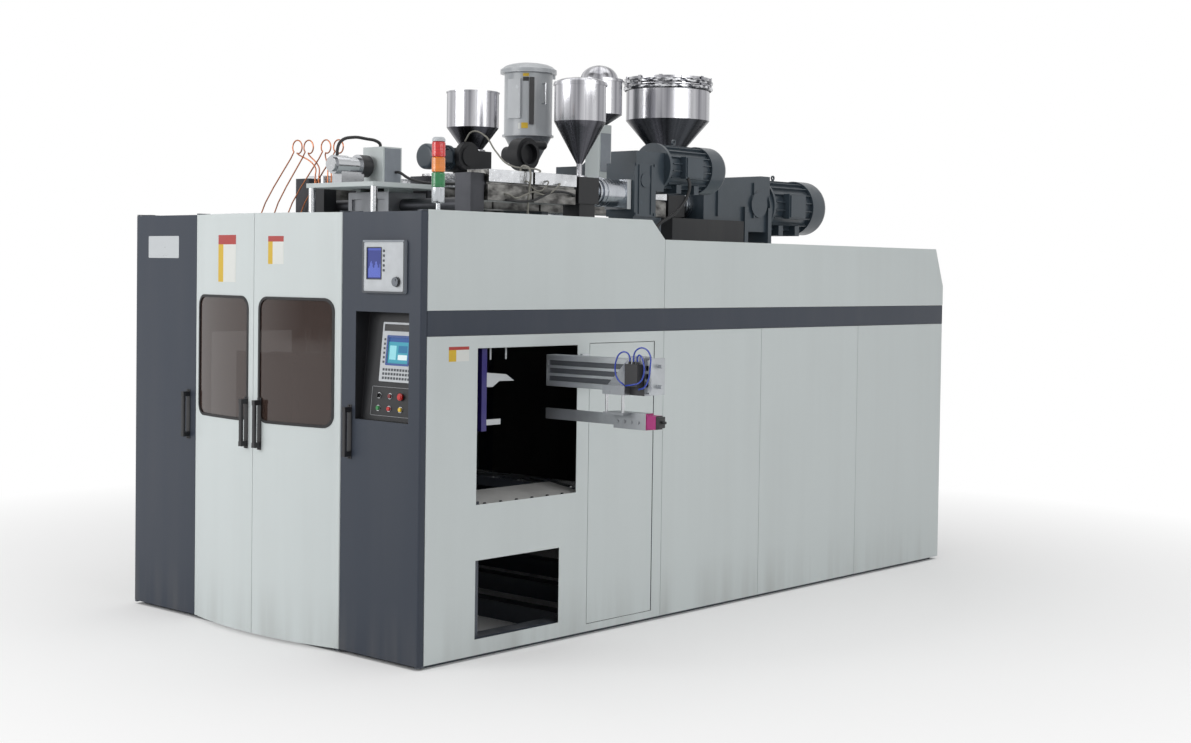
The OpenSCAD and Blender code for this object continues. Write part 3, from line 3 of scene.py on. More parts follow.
import bmesh
import bpy
from mathutils import Matrix, Vector


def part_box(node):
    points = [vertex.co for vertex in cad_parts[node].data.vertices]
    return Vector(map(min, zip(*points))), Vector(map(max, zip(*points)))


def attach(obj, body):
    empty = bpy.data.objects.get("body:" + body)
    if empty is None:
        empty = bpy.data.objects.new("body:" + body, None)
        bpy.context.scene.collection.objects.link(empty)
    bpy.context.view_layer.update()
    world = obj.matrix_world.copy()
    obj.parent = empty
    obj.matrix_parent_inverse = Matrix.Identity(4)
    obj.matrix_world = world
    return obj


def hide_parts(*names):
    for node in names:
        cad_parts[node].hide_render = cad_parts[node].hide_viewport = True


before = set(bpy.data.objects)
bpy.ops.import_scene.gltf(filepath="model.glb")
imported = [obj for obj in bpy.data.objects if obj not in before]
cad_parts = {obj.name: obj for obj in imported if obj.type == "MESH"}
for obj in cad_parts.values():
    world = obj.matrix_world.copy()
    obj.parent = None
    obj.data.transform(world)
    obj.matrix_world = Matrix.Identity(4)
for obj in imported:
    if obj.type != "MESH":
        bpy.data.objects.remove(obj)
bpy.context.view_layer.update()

# Studio: the camera stands off the front right corner, a little above the head,
# with a normal lens. The floor and backdrop are white, and wide soft lamps light
# the doors more than the right side.


def added(name, data):
    """A new object of the scene that shows data."""
    item = bpy.data.objects.new(name, data)
    bpy.context.scene.collection.objects.link(item)
    return item


camera_yaw, camera_pitch, camera_roll = (math.radians(a) for a in (41.93, 1.69, 0.79))
forward = Vector((-math.sin(camera_yaw) * math.cos(camera_pitch),
                  math.cos(camera_yaw) * math.cos(camera_pitch), -math.sin(camera_pitch)))
level = Vector((math.cos(camera_yaw), math.sin(camera_yaw), 0))
downwards = forward.cross(level)
rightwards = level * math.cos(camera_roll) - downwards * math.sin(camera_roll)
upwards = -(level * math.sin(camera_roll) + downwards * math.cos(camera_roll))
camera = added("studio_camera", bpy.data.cameras.new("studio_camera"))
camera.matrix_world = (Matrix.Translation((7.4616, -8.1161, 1.9619))
                       @ Matrix((rightwards, upwards, -forward)).transposed().to_4x4())
camera.data.sensor_width = 36
camera.data.lens = 52.57
camera.data.shift_y = -0.0413
camera.data.clip_end = 200
bpy.context.scene.camera = camera
bpy.context.scene.view_settings.view_transform = "Standard"


def soft_lamp(name, place, aim, width, height, power):
    """A wide rectangular lamp at place that shines towards aim."""
    data = bpy.data.lights.new(name, "AREA")
    data.shape = "RECTANGLE"
    data.size, data.size_y = width, height
    data.energy = power
    item = added(name, data)
    item.location = place
    item.rotation_euler = (Vector(aim) - Vector(place)).to_track_quat("-Z", "Y").to_euler()


soft_lamp("front_bank", (-2.5, -9.5, 4.2), (0, -1.5, 1.2), 6.0, 3.5, 350)
soft_lamp("side_bank", (9.0, -1.0, 4.5), (0.5, 0, 1.4), 7.0, 3.0, 195)
soft_lamp("overhead_bank", (0, 0, 8.5), (0, 0.3, 0), 7.0, 7.0, 190)


class Signal:
    """A value in a set of nodes, on which maths adds Math nodes."""

    def __init__(self, nodes, socket):
        self.nodes = nodes
        self.socket = socket

    def math(self, operation, a, b=0.0):
        return self.nodes.node("ShaderNodeMath", {"operation": operation}, {0: a, 1: b})

    def __add__(self, other):
        return self.math("ADD", self, other)

    def __radd__(self, other):
        return self.math("ADD", other, self)

    def __sub__(self, other):
        return self.math("SUBTRACT", self, other)

    def __rsub__(self, other):
        return self.math("SUBTRACT", other, self)

    def __mul__(self, other):
        return self.math("MULTIPLY", self, other)

    def __rmul__(self, other):
        return self.math("MULTIPLY", other, self)

    def __gt__(self, other):
        return self.math("GREATER_THAN", self, other)

    def __lt__(self, other):
        return self.math("LESS_THAN", self, other)


class Nodes:
    """The nodes of one material or of the backdrop."""

    def __init__(self, tree, coordinates):
        self.tree = tree
        self.place = self.node("ShaderNodeTexCoord", out=coordinates)
        self.x, self.y, self.z = (self.node("ShaderNodeSeparateXYZ", None, {0: self.place}, out)
                                  for out in ("X", "Y", "Z"))

    def node(self, kind, settings=None, inputs=None, out=0):
        item = self.tree.nodes.new(kind)
        for key, value in (settings or {}).items():
            setattr(item, key, value)
        for key, value in (inputs or {}).items():
            if isinstance(value, Signal):
                self.tree.links.new(value.socket, item.inputs[key])
            else:
                item.inputs[key].default_value = value
        return Signal(self, item.outputs[out])

    def noise(self, scale, detail=2.0, stretch=(1, 1, 1)):
        """Noise from 0 to 1 with features about 1 / scale metres wide."""
        where = self.node("ShaderNodeMapping", None, {"Vector": self.place, "Scale": stretch})
        return self.node("ShaderNodeTexNoise", None,
                         {"Vector": where, "Scale": scale, "Detail": detail})

    def ramp(self, value, low, high):
        """0 where value is at low, 1 at high, held between them."""
        return self.node("ShaderNodeMapRange", None,
                         {"Value": value, "From Min": low, "From Max": high})

    def mix(self, factor, a, b):
        """Colour a where factor is 0 and b where it is 1."""
        return self.node("ShaderNodeMix", {"data_type": "RGBA"}, {0: factor, 6: a, 7: b}, 2)

    def seen(self):
        """1 for what the camera, a reflection or a look through glass meets."""
        rays = [self.node("ShaderNodeLightPath", out=kind)
                for kind in ("Is Camera Ray", "Is Glossy Ray", "Is Transmission Ray")]
        return self.ramp(rays[0] + rays[1] + rays[2], 0.0, 1.0)


def grey(value):
    return (value, value, value, 1)


world = bpy.data.worlds.new("studio")
bpy.context.scene.world = world
world.use_nodes = True
sky = Nodes(world.node_tree, "Generated")
turn = sky.x.math("ARCTAN2", sky.y, sky.x)
reflected = 1 - sky.node("ShaderNodeLightPath", out="Is Camera Ray")
# Two dark flags and a dim ceiling, which only polished metal and glass show
flags = [sky.ramp(turn.math("ABSOLUTE", turn - math.radians(angle)),
                  math.radians(wide + 9), math.radians(wide - 5))
         for angle, wide in ((-110, 19), (8, 13))]
shade = (flags[0] + flags[1]) * 0.7 + sky.ramp(sky.z, 0.35, 0.9) * 0.4
backdrop = sky.mix(shade * reflected, grey(1.0), grey(0.1))
lighting = sky.mix(sky.ramp(sky.z, -0.1, 0.5), grey(0.15), grey(0.42))
sky.tree.links.new(sky.mix(sky.seen(), lighting, backdrop).socket,
                   sky.tree.nodes["Background"].inputs["Color"])

ground = bmesh.new()
bmesh.ops.create_circle(ground, cap_ends=True, segments=96, radius=40)
floor_mesh = bpy.data.meshes.new("studio_floor")
ground.to_mesh(floor_mesh)
ground.free()
studio_floor = added("studio_floor", floor_mesh)
floor_material = bpy.data.materials.new("studio_floor")
floor_material.use_nodes = True
paint = Nodes(floor_material.node_tree, "Object")
floor_shader = paint.tree.nodes["Principled BSDF"]
floor_shader.inputs["Base Color"].default_value = grey(0.86)
floor_shader.inputs["Roughness"].default_value = 0.85
distance = paint.node("ShaderNodeVectorMath", {"operation": "LENGTH"}, {0: paint.place}, "Value")
under = ((paint.x.math("ABSOLUTE", paint.x) < 1.21)
         * (paint.y.math("ABSOLUTE", paint.y) < 2.42))
fade = (paint.ramp(distance, 2.4, 6.0) * 0.7 + 0.3) * (1 - under) * paint.seen()
glow = paint.node("ShaderNodeEmission", None, {"Color": grey(1.0)})
mixed = paint.node("ShaderNodeMixShader", None,
                   {0: fade, 1: Signal(paint, floor_shader.outputs[0]), 2: glow})
paint.tree.links.new(mixed.socket, paint.tree.nodes["Material Output"].inputs["Surface"])
floor_mesh.materials.append(floor_material)

# Shared by all sections: colours, the materials that several pieces use, and
# the two ways to make a piece, from a bmesh or from a merged copy of a CAD node.


def tone(red, green, blue):
    """The linear colour of a printed one, each part from 0 to 255."""
    return tuple(c / 255 / 12.92 if c < 11 else ((c / 255 + 0.055) / 1.055) ** 2.4
                 for c in (red, green, blue)) + (1,)


def shaded(colour, share):
    return tuple(min(c * share, 1) for c in colour[:3]) + (1,)


class Finish(Nodes):
    """A material in the making, laid out on Object coordinates."""

    def __init__(self, name, colour, roughness, metallic=0.0, coat=0.0):
        self.material = bpy.data.materials.new(name)
        self.material.use_nodes = True
        super().__init__(self.material.node_tree, "Object")
        self.shader = self.tree.nodes["Principled BSDF"]
        self.colour = colour
        for key, value in (("Base Color", colour), ("Roughness", roughness),
                           ("Metallic", metallic), ("Coat Weight", coat)):
            self.shader.inputs[key].default_value = value

    def drive(self, **signals):
        """Links signals to the shader, such as base_color or roughness."""
        for key, signal in signals.items():
            self.tree.links.new(signal.socket, self.shader.inputs[key.replace("_", " ").title()])

    def bump(self, height, distance):
        """Raises the surface by height, which goes from 0 to 1, times distance."""
        self.drive(normal=self.node("ShaderNodeBump", None,
                                    {"Height": height, "Distance": distance, "Strength": 1.0}))

    def upward(self):
        """1 on what faces up, 0 on what stands upright or faces down."""
        normal = self.node("ShaderNodeNewGeometry", out="Normal")
        return self.ramp(self.node("ShaderNodeSeparateXYZ", None, {0: normal}, "Z"), 0.35, 1.0)


def enamel(name, colour, roughness=0.38):
    """Sprayed machine enamel, with dust on what faces up."""
    finish = Finish(name, colour, roughness, coat=0.15)
    clouds = finish.mix(finish.noise(3.5, 3), shaded(colour, 0.84), shaded(colour, 1.14))
    dust = finish.upward() * finish.ramp(finish.noise(14, 4), 0.3, 0.75) * 0.35
    scuffs = finish.ramp(finish.noise(26, 5), 0.66, 0.74) * 0.3
    worn = finish.mix(scuffs, clouds, shaded(colour, 1.7))
    finish.drive(base_color=finish.mix(dust, worn, grey(0.40)),
                 roughness=finish.noise(22, 3) * 0.2 + dust * 0.4 + (roughness - 0.1))
    finish.bump(finish.noise(170, 2) + 0.5 * finish.noise(30, 2), 0.0006)
    return finish.material


def ground_steel(name, colour, roughness=0.28, stretch=(1, 1, 1), metallic=1.0):
    """Machined steel with tool marks; stretch is low along the marks."""
    finish = Finish(name, colour, roughness, metallic)
    marks = finish.noise(70, 3, stretch)
    stains = finish.noise(5, 4)
    finish.drive(base_color=finish.mix(finish.ramp(stains, 0.42, 0.8), colour,
                                       shaded(colour, 0.68)),
                 roughness=marks * 0.22 + stains * 0.12 + (roughness - 0.17))
    finish.bump(marks, 0.0001)
    return finish.material


def outwards(item):
    bmesh.ops.recalc_face_normals(item, faces=item.faces[:])


def finished(item, name, body, slot, *materials, bevel=0.0, angle=35, segments=2):
    """Makes the bmesh into a piece that rides on a body, with broken edges."""
    mesh = bpy.data.meshes.new(name)
    item.to_mesh(mesh)
    item.free()
    for material in materials:
        mesh.materials.append(material)
    mesh.shade_smooth()
    mesh.set_sharp_from_angle(angle=math.radians(angle))
    piece = added(name, mesh)
    if bevel:
        edge = piece.modifiers.new("broken_edges", "BEVEL")
        edge.width = bevel
        edge.segments = segments
        edge.limit_method = "ANGLE"
        edge.angle_limit = math.radians(angle)
        edge.harden_normals = True
    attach(piece, body)
    return piece


def dressed(node, body, slot, *materials, bevel=0.0012, pick=None, angle=35):
    """A merged copy of a CAD node with broken edges, which stands for the node.

    pick gives the number of a face's material from its middle and its normal."""
    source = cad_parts[node].data.copy()
    if "custom_normal" in source.attributes:
        source.attributes.remove(source.attributes["custom_normal"])
    item = bmesh.new()
    item.from_mesh(source)
    bpy.data.meshes.remove(source)
    bmesh.ops.remove_doubles(item, verts=item.verts, dist=0.00002)
    bmesh.ops.dissolve_limit(item, angle_limit=math.radians(0.4), use_dissolve_boundaries=False,
                             verts=item.verts, edges=item.edges)
    item.normal_update()
    for face in item.faces:
        face.material_index = pick(face.calc_center_median(), face.normal) if pick else 0
    piece = finished(item, node + "_piece", body, slot, *materials, bevel=bevel, angle=angle)
    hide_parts(node)
    return piece


front = -2.425


def spot(x, y, z):
    """A place from millimetres, with y counted from the flat front."""
    return Vector((x / 1000, y / 1000 + front, z / 1000))


# Base and frame: square tube welded under the machine and behind its panels,
# sprayed with grey machine enamel. The mould carriages run on two ground
# steel rails that are screwed to beds across the machine.
frame_enamel = enamel("frame_enamel", tone(66, 72, 82))
rail_steel = ground_steel("rail_steel", tone(168, 170, 172), stretch=(0.05, 1, 1))
chute_steel = ground_steel("chute_steel", tone(222, 222, 220), 0.5, (0.2, 1, 1), 0.2)


def base_part(centre, normal):
    """The rails are ground steel, the chutes inside the openings rolled sheet."""
    tilted = 0.1 < abs(normal.x) < 0.2 or abs(normal.x) > 0.98
    if abs(centre.x) > 0.94 and centre.z > 0.76 and tilted:
        return 2
    return 1 if centre.z > 0.70 else 0


dressed("base_frame", "machine", "frame_steel", frame_enamel, rail_steel, chute_steel,
        pick=base_part)
dressed("upper_frame", "machine", "frame_steel", frame_enamel, bevel=0.002)


def bolt_heads(name, body, slot, places, axis, radius, material, sides=6):
    """Screw heads on washers at places, pointing along axis."""
    item = bmesh.new()
    turned = Vector((0, 0, 1)).rotation_difference(Vector(axis)).to_matrix().to_4x4()
    for place in places:
        at = Matrix.Translation(place) @ turned
        for around, thick, wide, narrow, rise in ((16, 0.3, 1.35, 1.25, 0.15),
                                                  (sides, 0.7, 1.0, 0.94, 0.62)):
            bmesh.ops.create_cone(item, cap_ends=True, segments=around,
                                  radius1=radius * wide, radius2=radius * narrow,
                                  depth=radius * thick,
                                  matrix=at @ Matrix.Translation((0, 0, radius * rise)))
    return finished(item, name, body, slot, material, angle=25)


zinc = ground_steel("zinc_plate", tone(186, 188, 190), 0.34)
black_zinc = ground_steel("black_zinc", tone(52, 52, 55), 0.42)
bolt_heads("rail_bolts", "machine", "bright_steel",
           [spot(x, y + side * 28, 790) for y in (400, 1240) for side in (-1, 1)
            for x in range(-1100, 1101, 200)], (0, 0, 1), 0.006, zinc)
bolt_heads("chute_bolts", "machine", "bright_steel",
           [spot(side * 1190, y, 775.5) for side in (-1, 1) for y in range(470, 1200, 115)],
           (0, 0, 1), 0.008, black_zinc)

# Opening guard: a dark blue post behind the take-out opening's front edge, with
# a pale arm and a pale flat bar fixed to it, and two pale guide rods beside it.
post_blue = enamel("post_blue", tone(46, 38, 112))
guard_pale = enamel("guard_pale", tone(196, 200, 202))
guard_y = front + 0.486


def upright_plate(name, outline, low, high, material, bevel):
    """A plate cut to an outline of y from the post and z, from low to high in x."""
    item = bmesh.new()
    face = item.faces.new([item.verts.new((low, guard_y + y, z)) for y, z in outline])
    pushed = bmesh.ops.extrude_face_region(item, geom=[face])
    bmesh.ops.translate(item, vec=(high - low, 0, 0),
                        verts=[v for v in pushed["geom"] if isinstance(v, bmesh.types.BMVert)])
    outwards(item)
    finished(item, name, "machine", "frame_steel", material, bevel=bevel)


def rectangle(y0, y1, z0, z1):
    return (y0, z0), (y1, z0), (y1, z1), (y0, z1)


upright_plate("guard_post", rectangle(-0.036, 0, 1.143, 1.90), 1.150, 1.180, post_blue, 0.001)
upright_plate("guard_arm", ((-0.002, 1.367), (-0.002, 1.440), (0.142, 1.427), (0.202, 1.392),
                            (0.093, 1.394), (0.045, 1.365)), 1.168, 1.176, guard_pale, 0.0008)
upright_plate("guard_bar", rectangle(-0.002, 0.105, 1.172, 1.201), 1.168, 1.176, guard_pale,
              0.001)
rods = bmesh.new()
for y in (0.516, 0.627):
    bmesh.ops.create_cone(rods, cap_ends=True, segments=16, radius1=0.005, radius2=0.005,
                          depth=0.40, matrix=Matrix.Translation((1.172, front + y, 1.705)))
finished(rods, "guide_rods", "machine", "frame_steel", guard_pale)

# Enclosure: folded steel sheets, powder coated pale grey with a dark stripe
# round the sides and a primer inside, made dark grey as painted shade for the
# unlit inside of the machine. They hang on the frame by hidden screws, so only
# the seams show.
half_width = 1.215


def powder_coat(name, colour):
    """Powder coat with fine orange peel, dull near the floor where dust gathers."""
    finish = Finish(name, colour, 0.42)
    finish.shader.inputs["Specular IOR Level"].default_value = 0.35
    clean = finish.mix(finish.noise(0.9, 3), shaded(colour, 0.965), shaded(colour, 1.03))
    low = finish.ramp(finish.z, 0.32, 0.02)
    streaks = finish.ramp(finish.noise(7, 3, (1, 1, 0.08)), 0.42, 0.8)
    grime = streaks * (low * 0.3 + 0.05)
    finish.drive(base_color=finish.mix(grime, clean, (0.20, 0.19, 0.17, 1)),
                 roughness=finish.noise(2.2, 4) * 0.16 + low * 0.12 + 0.33)
    finish.bump(finish.noise(420, 1), 0.00012)
    return finish.material


pale_coat = powder_coat("pale_coat", tone(207, 214, 214))
dark_coat = powder_coat("dark_coat", tone(51, 58, 70))
# The inside primer is partly real and partly painted shade: its dark grey stands for the shade
# inside the enclosure.
inside = Finish("primer_dark_as_painted_shade", tone(96, 95, 96), 0.7)
inside.drive(base_color=inside.mix(inside.noise(4, 4), shaded(inside.colour, 0.75),
                                   shaded(inside.colour, 1.25)))
inside.bump(inside.noise(500, 1), 0.0002)
primer_painted_shade = inside.material


def inner_side(centre, normal):
    """Faces that look into the machine keep their primer, whose dark grey is painted shade."""
    inward = normal.x * centre.x < -0.5 and abs(centre.x) < half_width - 0.001
    forward_facing = normal.y < -0.5 and centre.y > 2.3
    return 1 if inward or forward_facing else 0


for panel in ("side_panels", "rear_panels"):
    dressed(panel, "machine", "pale_paint", pale_coat, primer_painted_shade, bevel=0.0009, pick=inner_side)
dressed("stripe_bands", "machine", "dark_paint", dark_coat, primer_painted_shade, bevel=0.0009,
        pick=inner_side)
dressed("roof_panels", "machine", "pale_paint", pale_coat, primer_painted_shade, bevel=0.0009,
        pick=lambda centre, normal: 1 if normal.z < -0.5 else 0)


def plate(name, body, slot, low, high, material, bevel=0.0005, place=None, corner=0.0):
    """A flat plate between two corners, its corners in X and Z rounded by corner."""
    item = bmesh.new()
    size = Vector(high) - Vector(low)
    bmesh.ops.create_cube(item, size=1)
    bmesh.ops.scale(item, vec=size, verts=item.verts)
    if corner:
        across = [edge for edge in item.edges
                  if abs((edge.verts[0].co - edge.verts[1].co).y) > size.y * 0.9]
        bmesh.ops.bevel(item, geom=across, offset=corner, segments=5, profile=0.5,
                        affect="EDGES", material=-1)
    bmesh.ops.translate(item, vec=(Vector(high) + Vector(low)) / 2, verts=item.verts)
    if place:
        bmesh.ops.transform(item, matrix=place, verts=item.verts)
    return finished(item, name, body, slot, material, bevel=bevel)


def printed(name, ground, fields, along="x", roughness=0.45, glow=0.0):
    """A print of plain rectangles: each field is from, to, lowest, highest and colour."""
    finish = Finish(name, ground, roughness)
    across = finish.x if along == "x" else finish.y
    colour = finish.mix(finish.noise(60, 2) * 0.25, ground, shaded(ground, 0.86))
    for x0, x1, z0, z1, ink in fields:
        inside_field = (across > x0) * (across < x1) * (finish.z > z0) * (finish.z < z1)
        colour = finish.mix(inside_field, colour, ink)
    finish.drive(base_color=colour)
    if glow:
        finish.drive(emission_color=colour)
        finish.shader.inputs["Emission Strength"].default_value = glow
    finish.bump(finish.noise(300, 2), 0.00005)
    return finish.material


label_red, label_yellow, label_white = tone(172, 62, 58), tone(212, 176, 52), tone(222, 224, 220)
label_y0, label_y1 = spot(0, 187, 0).y, spot(0, 325, 0).y
side_print = printed("side_label_print", label_white,
                     [(label_y0, label_y0 + 0.05, 1.50, 1.562, label_yellow),
                      (label_y0, label_y1, 1.562, 1.58, label_red)], along="y")
plate("side_label", "machine", "pale_paint", (half_width, label_y0, 1.505),
      (half_width + 0.0006, label_y1, 1.578), side_print, bevel=0.0002)

# Front doors: folded sheet doors with a round hinge stile, the dark pair flat
# and the pale pair bowed outwards with a window each. The tinted panes are
# polycarbonate, held from behind in a black rubber gasket.
bow = 0.080
bow_half = 0.624
bow_radius = (bow_half ** 2 + bow ** 2) / (2 * bow)
window = {"x": 0.050, "z": 1.148, "width": 0.524, "height": 0.650, "corner": 0.060}


def bow_depth(x):
    """Where the bowed doors' outer face lies at x."""
    return front - bow + bow_radius - math.sqrt(bow_radius ** 2 - x ** 2)


def behind_door(centre, normal):
    return 1 if normal.y > 0.5 and centre.y > bow_depth(min(abs(centre.x), bow_half)) else 0


for door, slot, coat in (("left_dark_door", "dark_paint", dark_coat),
                         ("control_door", "dark_paint", dark_coat),
                         ("left_window_door", "pale_paint", pale_coat),
                         ("right_window_door", "pale_paint", pale_coat)):
    dressed(door, door, slot, coat, primer_painted_shade, bevel=0.0009, pick=behind_door)
dressed("access_door", "access_door", "pale_paint", pale_coat, primer_painted_shade, bevel=0.0009,
        pick=inner_side)

tint = Finish("brown_tint", tone(64, 50, 45), 0.06, coat=0.3)
tint.drive(base_color=tint.mix(tint.noise(1.2, 2), shaded(tint.colour, 0.9),
                               shaded(tint.colour, 1.1)),
           roughness=tint.ramp(tint.noise(9, 5), 0.35, 0.9) * 0.12 + 0.03)
tint.shader.inputs["Alpha"].default_value = 0.84
tint.bump(tint.noise(3, 2), 0.0006)
for side in ("left", "right"):
    dressed(side + "_window_pane", side + "_window_door", "tinted_pane", tint.material,
            bevel=0.0008)


def moulded(name, colour, roughness=0.45, coat=0.0):
    """Moulded plastic or rubber with a fine grain and rubbed patches."""
    finish = Finish(name, colour, roughness, coat=coat)
    rubbed = finish.noise(18, 4)
    finish.drive(base_color=finish.mix(rubbed, shaded(colour, 0.85), shaded(colour, 1.12)),
                 roughness=rubbed * 0.2 + (roughness - 0.1))
    finish.bump(finish.noise(900, 2), 0.00012)
    return finish.material


black_rubber = moulded("black_rubber", tone(26, 26, 28), 0.62)
black_plastic = moulded("black_plastic", tone(34, 34, 37), 0.4)


def bowed(item):
    """Lays a flat upright shape on the bowed doors, cut every 20 mm to follow them."""
    xs = [vert.co.x for vert in item.verts]
    cuts = int((max(xs) - min(xs)) / 0.02)
    for k in range(1, cuts):
        bmesh.ops.bisect_plane(item, geom=item.verts[:] + item.edges[:] + item.faces[:],
                               plane_co=(min(xs) + (max(xs) - min(xs)) * k / cuts, 0, 0),
                               plane_no=(1, 0, 0))
    for vert in item.verts:
        vert.co.y += bow_depth(vert.co.x)
    return item


def upright_panel(x, z, width, height, corner, thick, band=0.0):
    """A flat panel with round corners, or only its edge band, facing forwards."""
    item = bmesh.new()
    bmesh.ops.create_grid(item, x_segments=1, y_segments=1, size=0.5)
    bmesh.ops.scale(item, vec=(width, height, 1), verts=item.verts)
    bmesh.ops.bevel(item, geom=item.verts[:], offset=corner, segments=8, profile=0.5,
                    affect="VERTICES", material=-1)
    if band:
        middle = item.faces[:]
        bmesh.ops.inset_individual(item, faces=middle, thickness=band, use_even_offset=True)
        bmesh.ops.delete(item, geom=middle, context="FACES")
    bmesh.ops.rotate(item, matrix=Matrix.Rotation(math.pi / 2, 3, "X"), verts=item.verts)
    bmesh.ops.translate(item, vec=(x + width / 2, 0, z + height / 2), verts=item.verts)
    bmesh.ops.solidify(item, geom=item.faces[:], thickness=thick)
    outwards(item)
    ys = [vert.co.y for vert in item.verts]
    bmesh.ops.translate(item, vec=(0, -max(ys), 0), verts=item.verts)
    return item


lip = 0.007
for sign, side in ((-1, "left"), (1, "right")):
    x0 = window["x"] if sign > 0 else -window["x"] - window["width"]
    ring = upright_panel(x0 - lip, window["z"] - lip, window["width"] + 2 * lip,
                         window["height"] + 2 * lip, window["corner"] + lip, 0.0035, 2 * lip)
    finished(bowed(ring), side + "_window_gasket", side + "_window_door", "black_plastic",
             black_rubber, bevel=0.0012)

door_labels = (("left", -0.347, -0.166, 1.876, 2.128), ("right", 0.116, 0.235, 1.975, 2.121))
for side, x0, x1, z0, z1 in door_labels:
    split = x0 + (x1 - x0) * 0.3
    head = z1 - (z1 - z0) * 0.2
    ink = printed(side + "_door_label_print", label_white,
                  [(x0, split, z0, head, label_yellow), (x0, x1, head, z1, label_red)])
    label = upright_panel(x0, z0, x1 - x0, z1 - z0, 0.003, 0.0006)
    finished(bowed(label), side + "_door_label", side + "_window_door", "pale_paint", ink)

name_plate = Finish("name_plate", tone(196, 200, 203), 0.32, metallic=0.6)
name_plate.drive(roughness=name_plate.noise(40, 3, (0.1, 1, 1)) * 0.25 + 0.2)
name_plate.bump(name_plate.noise(200, 2, (0.05, 1, 1)), 0.00008)
blank = upright_panel(-1.089, 2.002, 0.295, 0.124, 0.006, 0.0012)
bmesh.ops.translate(blank, vec=(0, front, 0), verts=blank.verts)
finished(blank, "blank_name_plate", "left_dark_door", "pale_paint", name_plate.material,
         bevel=0.0004)

# Door handles: black bridge handles of glass-filled nylon, each on a flat strip
# that a small black screw holds at either end.
flat_seat, bowed_seat, screw_z = 0.0, -0.08014, (1.003, 1.267)
handles = (("left_dark_handle", "left_dark_door", -0.693, flat_seat),
           ("control_door_handle", "control_door", 0.692, flat_seat),
           ("right_window_handle", "right_window_door", 0.057, bowed_seat),
           ("left_window_handle", "left_window_door", -0.057, bowed_seat))
for node, body, x, seat in handles:
    dressed(node, body, "black_plastic", black_plastic, bevel=0.0025)
    bolt_heads(node + "_screws", body, "bright_steel",
               [(x, front + seat - 0.003, z) for z in screw_z], (0, -1, 0), 0.0032,
               black_zinc, sides=12)

# Parison controller: a panel instrument in a pale moulded bezel, with a blue
# graph screen, a column of keys and a turned aluminium dial.
pale_plastic = moulded("pale_plastic", tone(196, 200, 204), 0.38)
bezel_grey = moulded("bezel_grey", tone(138, 144, 152), 0.42)
key_grey = moulded("key_grey", tone(70, 74, 80), 0.5)
controller = Vector((0.796, front, 1.837))


def controller_part(centre, normal):
    """The sunken face is paler than the bezel, and its keys are dark."""
    inner = (0.806 < centre.x < 1.102 and 1.847 < centre.z < 2.090 and normal.y < -0.5
             and centre.y > front - 0.0178)
    raised_key = 0.948 < centre.x < 0.964 and centre.y < front - 0.0141
    return 2 if raised_key else (1 if inner else 0)


dressed("parison_controller", "control_door", "pale_plastic", bezel_grey, pale_plastic,
        key_grey, pick=controller_part)
graph_z = controller.z + 0.079
graph = [(controller.x + 0.041 + 0.0065 * k, controller.x + 0.0455 + 0.0065 * k, graph_z,
          graph_z + 0.045 + 0.035 * math.sin(k * 0.55) ** 2, tone(96, 112, 200))
         for k in range(14)]
graph.append((controller.x + 0.034, controller.x + 0.14, controller.z + 0.212,
              controller.z + 0.23, tone(70, 84, 170)))
graph_print = printed("graph_screen", tone(50, 60, 130), graph, roughness=0.12, glow=0.25)
plate("controller_screen", "control_door", "black_plastic",
      controller + Vector((0.034, -0.0112, 0.072)), controller + Vector((0.140, -0.0105, 0.225)),
      graph_print, bevel=0)
frame_ring = upright_panel(controller.x + 0.030, controller.z + 0.068, 0.114, 0.161, 0.004,
                           0.0018, 0.005)
bmesh.ops.translate(frame_ring, vec=(0, front - 0.0138, 0), verts=frame_ring.verts)
finished(frame_ring, "controller_screen_frame", "control_door", "black_plastic", black_plastic,
         bevel=0.0006)
dial_metal = ground_steel("dial_metal", tone(120, 124, 130), 0.3)
dressed("controller_dial", "controller_dial", "bright_steel", dial_metal, black_plastic,
        bevel=0.0008,
        pick=lambda centre, normal: 1 if abs(normal.y) < 0.5 and centre.y < front - 0.014 else 0)

# Operator console: a black powder-coated trough set into the control door,
# with a membrane panel, a tilted display and 22 mm push-buttons below it.
console_tilt = math.atan((95 - 40) / 541)
console_face = (Matrix.Translation((0, front + 0.040, 1.203))
                @ Matrix.Rotation(-console_tilt, 4, "X"))
black_coat = powder_coat("black_coat", tone(36, 37, 40))
dressed("operator_console", "control_door", "black_plastic", black_coat)
screen_x, screen_z = 0.855, 0.194
dressed("operator_screen", "control_door", "pale_plastic", pale_plastic)


def on_console(name, x, z, width, height, depth, lift, material):
    """A flat thing on the console's face, lift in front of it."""
    return plate(name, "control_door", "pale_plastic", (x, -lift - depth, z),
                 (x + width, -lift, z + height), material, bevel=min(depth, 0.001) * 0.4,
                 place=console_face, corner=0.002)


